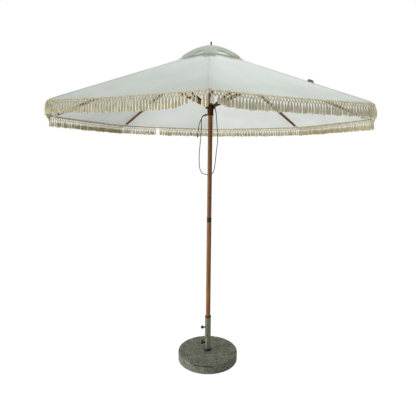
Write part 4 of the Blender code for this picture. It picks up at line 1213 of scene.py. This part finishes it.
def addRunner():
    bore, neck, bead, flare, crown = (runner[key] for key in ("bore", "neck", "bead", "flare", "crown"))
    foot, tall, crownFoot, top = runner["foot"], runner["beadTall"], runner["crownFoot"], runner["top"]
    outline = [(bore, foot), (neck - 0.0008, foot), (neck, foot + 0.0004)]
    for at in range(1, 8):
        turn = math.pi * at / 8 - math.pi / 2
        outline.append((neck + (bead - neck) * math.cos(turn), foot + tall / 2 + tall / 2 * math.sin(turn)))
    outline += [(neck, foot + tall), (neck, crownFoot - runner["flareTall"])]
    for at in range(1, 6):
        turn = math.pi / 2 * at / 5
        rise = crownFoot - runner["flareTall"] * math.cos(turn) ** 1.2 if at < 5 else crownFoot
        outline.append((neck + (flare - neck) * (1 - math.cos(turn)), rise))
    outline += [(crown - 0.001, crownFoot), (crown, crownFoot + 0.001), (crown, top - 0.001), (crown - 0.001, top)]
    wireIn, wireOut, floor = head["wireIn"], head["wireOut"], runner["wireFloor"]
    outline += [(wireOut, top), (wireOut, floor), (wireIn, floor), (wireIn, top), (bore, top)]
    piece = turnProfile("runner", outline, head["steps"], True)
    cutAway(piece, radialSlots(runner["slotIn"], 0.05, runner["slotHalf"], runner["slotFloor"], top + 0.01))
    bevelEdges(piece, runner["round"] * 0.6, 2, 50)
    finishPiece(piece, "runner", finish["hub"], "runner", ["runner"])
    piece = turnProfile("cordPeg", runner["peg"], 32)
    layAcross(piece, runner["pegHeight"])
    finishPiece(piece, "cordPeg", finish["hub"], "runner", ["cord_peg"])


addHub()
addRunner()
print("hub, finial and runner turned")


# stone base with its tube, collars and clamp screws

base = {
    "radius": 0.250,
    "tall": 0.074,
    "edge": 0.005,
    "hole": 0.0253,
    "recess": 0.0603,
    "recessTop": 0.0058,
    "steps": 160,
    "gripFoot": 0.0590,
    "gripTop": 0.0702,
    "gripDepth": 0.022,
    "gripFrom": -116,
    "gripTo": -82,
    "rough": 0.0009,
    "chip": 0.0030,
    "tubeSteps": 64,
    "tubeRadius": 0.025,
    "tubeBore": 0.0225,
    "tubeTop": 0.369,
    "plate": 0.060,
    "plateFoot": 0.0005,
    "plateTop": 0.0055,
    # rings round the tube: radius, height
    "footRing": [
        (0.0251, 0.0743), (0.0290, 0.0743), (0.0295, 0.0748), (0.0295, 0.0800), (0.0288, 0.0860), (0.0277, 0.0935),
        (0.0270, 0.0945), (0.0251, 0.0945),
    ],
    "collar": [
        (0.0193, 0.3393), (0.0222, 0.3393), (0.0222, 0.3693), (0.0250, 0.3693), (0.0258, 0.3701), (0.0258, 0.3770),
        (0.0250, 0.3800), (0.0236, 0.3813), (0.0200, 0.3813), (0.0193, 0.3806),
    ],
}

clamp = {
    "upperHeight": 0.277,
    "lowerHeight": 0.142,
    "nutRadius": 0.009,
    "nutFrom": 0.0240,
    "nutTo": 0.0310,
    "screw": 0.004,
    "tip": 0.0193,
    "thread": 0.00125,
    "threadDepth": 0.0005,
    "knobFrom": 0.034,
    "ballRadius": 0.0135,
    "ballLength": 0.027,
    "starRadius": 0.0175,
    "starDepth": 0.0025,
    "starLobes": 5,
    "starLength": 0.022,
    # share of the star's radius, share of its length
    "starOutline": [
        (0.90, 0.16), (0.96, 0.20), (1.0, 0.28), (1.0, 0.70), (0.985, 0.82), (0.93, 0.91), (0.82, 0.96),
        (0.64, 0.985), (0.62, 0.965), (0.0, 0.965),
    ],
}


def addSlab():
    radius, tall, edge = base["radius"], base["tall"], base["edge"]
    outline = [(base["hole"], base["recessTop"]), (base["recess"], base["recessTop"]), (base["recess"], 0.0)]
    outline += [(0.12, 0.0), (0.2, 0.0)]
    for at in range(5):
        turn = math.pi / 2 * at / 4
        outline.append((radius - edge + edge * math.sin(turn), edge - edge * math.cos(turn)))
    outline += [(radius, height) for height in (0.011, 0.018, 0.025, 0.032, 0.039, 0.046, 0.053, 0.060, 0.065)]
    for at in range(5):
        turn = math.pi / 2 * at / 4
        outline.append((radius - edge + edge * math.cos(turn), tall - edge + edge * math.sin(turn)))
    outline += [(reach, tall) for reach in (0.239, 0.230, 0.218, 0.2, 0.17, 0.13, 0.09, 0.05, base["hole"])]
    piece = turnProfile("baseSlab", outline, base["steps"], True)
    grip = turnProfile(
        "grip",
        [
            (radius - base["gripDepth"], base["gripFoot"]), (radius + 0.02, base["gripFoot"]),
            (radius + 0.02, base["gripTop"]), (radius - base["gripDepth"], base["gripTop"]),
        ],
        96,
        True,
    )
    # only the stretch at the front is kept
    makeActive(grip)
    bpy.ops.object.mode_set(mode="EDIT")
    for angle, side in ((base["gripFrom"], 1), (base["gripTo"], -1)):
        turn = math.radians(angle)
        bpy.ops.mesh.select_all(action="SELECT")
        bpy.ops.mesh.bisect(
            plane_co=(0.0, 0.0, 0.0),
            plane_no=(-side * math.sin(turn), side * math.cos(turn), 0.0),
            clear_inner=True,
            use_fill=True,
        )
    bpy.ops.object.mode_set(mode="OBJECT")
    cutAway(piece, grip)
    # flamed stone: sides and top are rough, the upper rim is chipped
    for vertex in piece.data.vertices:
        spot = vertex.co
        reach = math.hypot(spot.x, spot.y)
        if reach < 0.07 or spot.z < 0.004:
            continue
        grit = noise.noise(spot * 55) + 0.6 * noise.noise(spot * 140)
        outer = ease(0.236, 0.249, reach)
        chips = max(0.0, noise.noise(Vector((spot.x, spot.y, 3.0)) * 38) - 0.12)
        chips *= ease(0.058, 0.072, spot.z) * ease(0.238, 0.246, reach)
        push = base["rough"] * grit * outer - base["chip"] * chips
        spot.x += spot.x / reach * push
        spot.y += spot.y / reach * push
        spot.z += (base["rough"] * 0.5 * grit - base["chip"] * chips * 0.8) * ease(0.06, 0.073, spot.z)
    smoothByAngle(piece, 40)
    finishPiece(piece, "baseSlab", finish["slab"], "base", ["base_slab"])


def addBaseTube():
    radius, bore, top = base["tubeRadius"], base["tubeBore"], base["tubeTop"]
    plate, low, floor = base["plate"], base["plateFoot"], base["plateTop"]
    outline = [
        (0.0, low), (plate - 0.001, low), (plate, low + 0.001), (plate, floor - 0.001), (plate - 0.001, floor),
        (radius + 0.003, floor), (radius + 0.0008, floor + 0.0008), (radius, floor + 0.003), (radius, top - 0.0006),
        (radius - 0.0006, top), (bore + 0.0005, top), (bore, top - 0.0005), (bore, floor), (0.0, floor),
    ]
    addTurned("baseTube", outline, base["tubeSteps"], "tube", "base", ["base_tube"])
    for name, ring, replaced in (("tubeFootRing", "footRing", ()), ("tubeCollar", "collar", ["tube_collar"])):
        addTurned(name, base[ring], base["tubeSteps"], "collar", "base", replaced, True)
    for name, height in (("upperWeldNut", clamp["upperHeight"]), ("lowerWeldNut", clamp["lowerHeight"])):
        piece = addRod(clamp["nutRadius"], (-clamp["nutFrom"], 0.0, height), (-clamp["nutTo"], 0.0, height), 6)
        bevelEdges(piece, 0.0009, 3)
        finishPiece(piece, name, finish["band"], "base")


def screwOutline():
    radius, depth, pitch = clamp["screw"], clamp["threadDepth"], clamp["thread"]
    outline = [(0.0, clamp["tip"]), (radius - 0.0012, clamp["tip"])]
    reach = clamp["tip"] + 0.001
    while reach + pitch < clamp["knobFrom"]:
        outline += [(radius - depth, reach), (radius, reach + 0.45 * pitch), (radius, reach + 0.6 * pitch)]
        reach += pitch
    return [*outline, (radius - depth, clamp["knobFrom"])]


def addClamps():
    start, half, radius = clamp["knobFrom"], clamp["ballLength"] / 2, clamp["ballRadius"]
    outline = [*screwOutline(), (0.0052, start), (0.0058, start + 0.0006), (0.0056, start + 0.0014)]
    for at in range(3, 19):
        turn = math.pi * at / 18 - math.pi / 2
        outline.append((radius * math.cos(turn), start + half + half * math.sin(turn)))
    outline[-1] = (0.0, start + 2 * half)
    piece = turnProfile("upperClampScrew", outline, 40)
    layAcross(piece, clamp["upperHeight"])
    look = finish["knob"]
    finishPiece(piece, "upperClampScrew", look, "clamp_screw_upper", ["clamp_screw_upper"])

    long, rim = clamp["starLength"], clamp["starRadius"] - clamp["starDepth"]
    outline = [*screwOutline(), (0.0075, start), (0.0085, start + 0.0008), (0.0088, start + 0.0022)]
    for share, place in clamp["starOutline"]:
        outline.append((share * clamp["starRadius"], start + place * long))
    piece = turnProfile("lowerClampScrew", outline, 80)
    # five finger lobes are pressed into the turned knob
    for vertex in piece.data.vertices:
        reach = math.hypot(vertex.co.x, vertex.co.y)
        if vertex.co.z < start + 0.15 * long or reach < 0.5 * rim:
            continue
        lobe = math.cos(clamp["starLobes"] * math.atan2(vertex.co.y, vertex.co.x))
        pressed = (rim + clamp["starDepth"] * lobe) / clamp["starRadius"]
        vertex.co.x *= pressed
        vertex.co.y *= pressed
    smoothByAngle(piece, 50)
    layAcross(piece, clamp["lowerHeight"])
    finishPiece(piece, "lowerClampScrew", look, "clamp_screw_lower", ["clamp_screw_lower"])


addSlab()
addBaseTube()
addClamps()
print("base made")


# strap that ties the closed canopy, folded over the second seam

strap = {
    "rib": 2,
    "from": 0.842,
    "to": 0.886,
    "tall": 0.0135,
    "foot": 0.0118,
    "thick": 0.0013,
    "bindTall": 0.0046,
    "bindThick": 0.0022,
    "wave": 0.0008,
}


def strapPoint(share, height, side):
    start = (strap["from"] - seams["pivot"][0]) / math.cos(seams["slope"])
    end = (strap["to"] - seams["pivot"][0]) / math.cos(seams["slope"])
    sway = strap["wave"] * math.sin(5.2 * share + 0.7) * height / strap["tall"]
    return ribPlace(strap["rib"]) @ Vector((start + share * (end - start), side + sway, strap["foot"] + height))


def strapTop(share):
    return strap["tall"] * ease(-0.12, 0.14, share) * (1 - 0.7 * ease(0.8, 1.0, share))


def addBand(name, low, high, thick, shares):
    # a narrow closed band: five corners at each station, with the ends filled
    points, faces = [], []
    for share in shares:
        corners = [(low(share), -thick), (high(share), -0.7 * thick), (high(share) + 0.3 * thick, 0.0)]
        corners += [(high(share), 0.7 * thick), (low(share), thick)]
        points += [strapPoint(share, height, side) for height, side in corners]
    linkRings(faces, 0, len(shares), len(corners))
    piece = meshPiece(name, points, faces)
    layer = piece.data.uv_layers.new(name="UVMap")
    for loop in piece.data.loops:
        spot = piece.data.vertices[loop.vertex_index].co
        layer.data[loop.index].uv = (spot.x - spot.y, spot.z)
    smoothByAngle(piece, 60)
    return piece


def addStrap():
    body = "rib_" + str(strap["rib"])
    shares = spread(24, 0.0, 1.0)
    piece = addBand("tieStrap", lambda share: 0.0, lambda share: strapTop(share), strap["thick"], shares)
    finishPiece(piece, "tieStrap", finish["strap"], body, ["tie_strap"])
    upper = spread(16, 0.02, 0.70)
    piece = addBand(
        "tieStrapBinding",
        lambda share: max(strapTop(share) - strap["bindTall"], 0.0005),
        lambda share: strapTop(share) + 0.0006,
        strap["bindThick"],
        upper,
    )
    finishPiece(piece, "tieStrapBinding", finish["strap"], body)


addStrap()
print("tie strap sewn")


# finishes for the model's own bars and fittings

frameWood = {
    "shadedFrontRibs": (8, 1, 2),  # drawn in darker wood: painted shade, for these bars stand in shade at the front
    "front": ("#4a2c12", "#301b09"),
    "back": ("#875a31", "#62401f"),
    "armRise": -0.4412,
}


def barTurn(angle, fall):
    ahead = Vector((math.cos(angle) * math.cos(fall), math.sin(angle) * math.cos(fall), -math.sin(fall)))
    return tuple(ahead.rotation_difference(Vector((0.0, 0.0, 1.0))).to_euler())


def dressNodes():
    looks = {node: finish["tube"] for node in ("pulley", "pulley_axle", "top_hub_ring", "runner_ring")}
    for rib in range(1, ribCount + 1):
        # painted shade: the front ribs and stretchers get the darker wood pair
        light, dark = frameWood["front" if rib in frameWood["shadedFrontRibs"] else "back"]
        barAngle = ribAngle(rib)
        for node, fall in (("rib", seams["slope"]), ("stretcher", frameWood["armRise"])):
            wood = oiledWood(node + "Wood" + str(rib), light, dark, barTurn(barAngle, fall))
            looks[node + "_" + str(rib)] = wood
        looks["rib_bracket_" + str(rib)] = finish["band"]
    for node, material in looks.items():
        nodes[node].data.materials.clear()
        nodes[node].data.materials.append(material)


dressNodes()
print("bars and fittings finished")
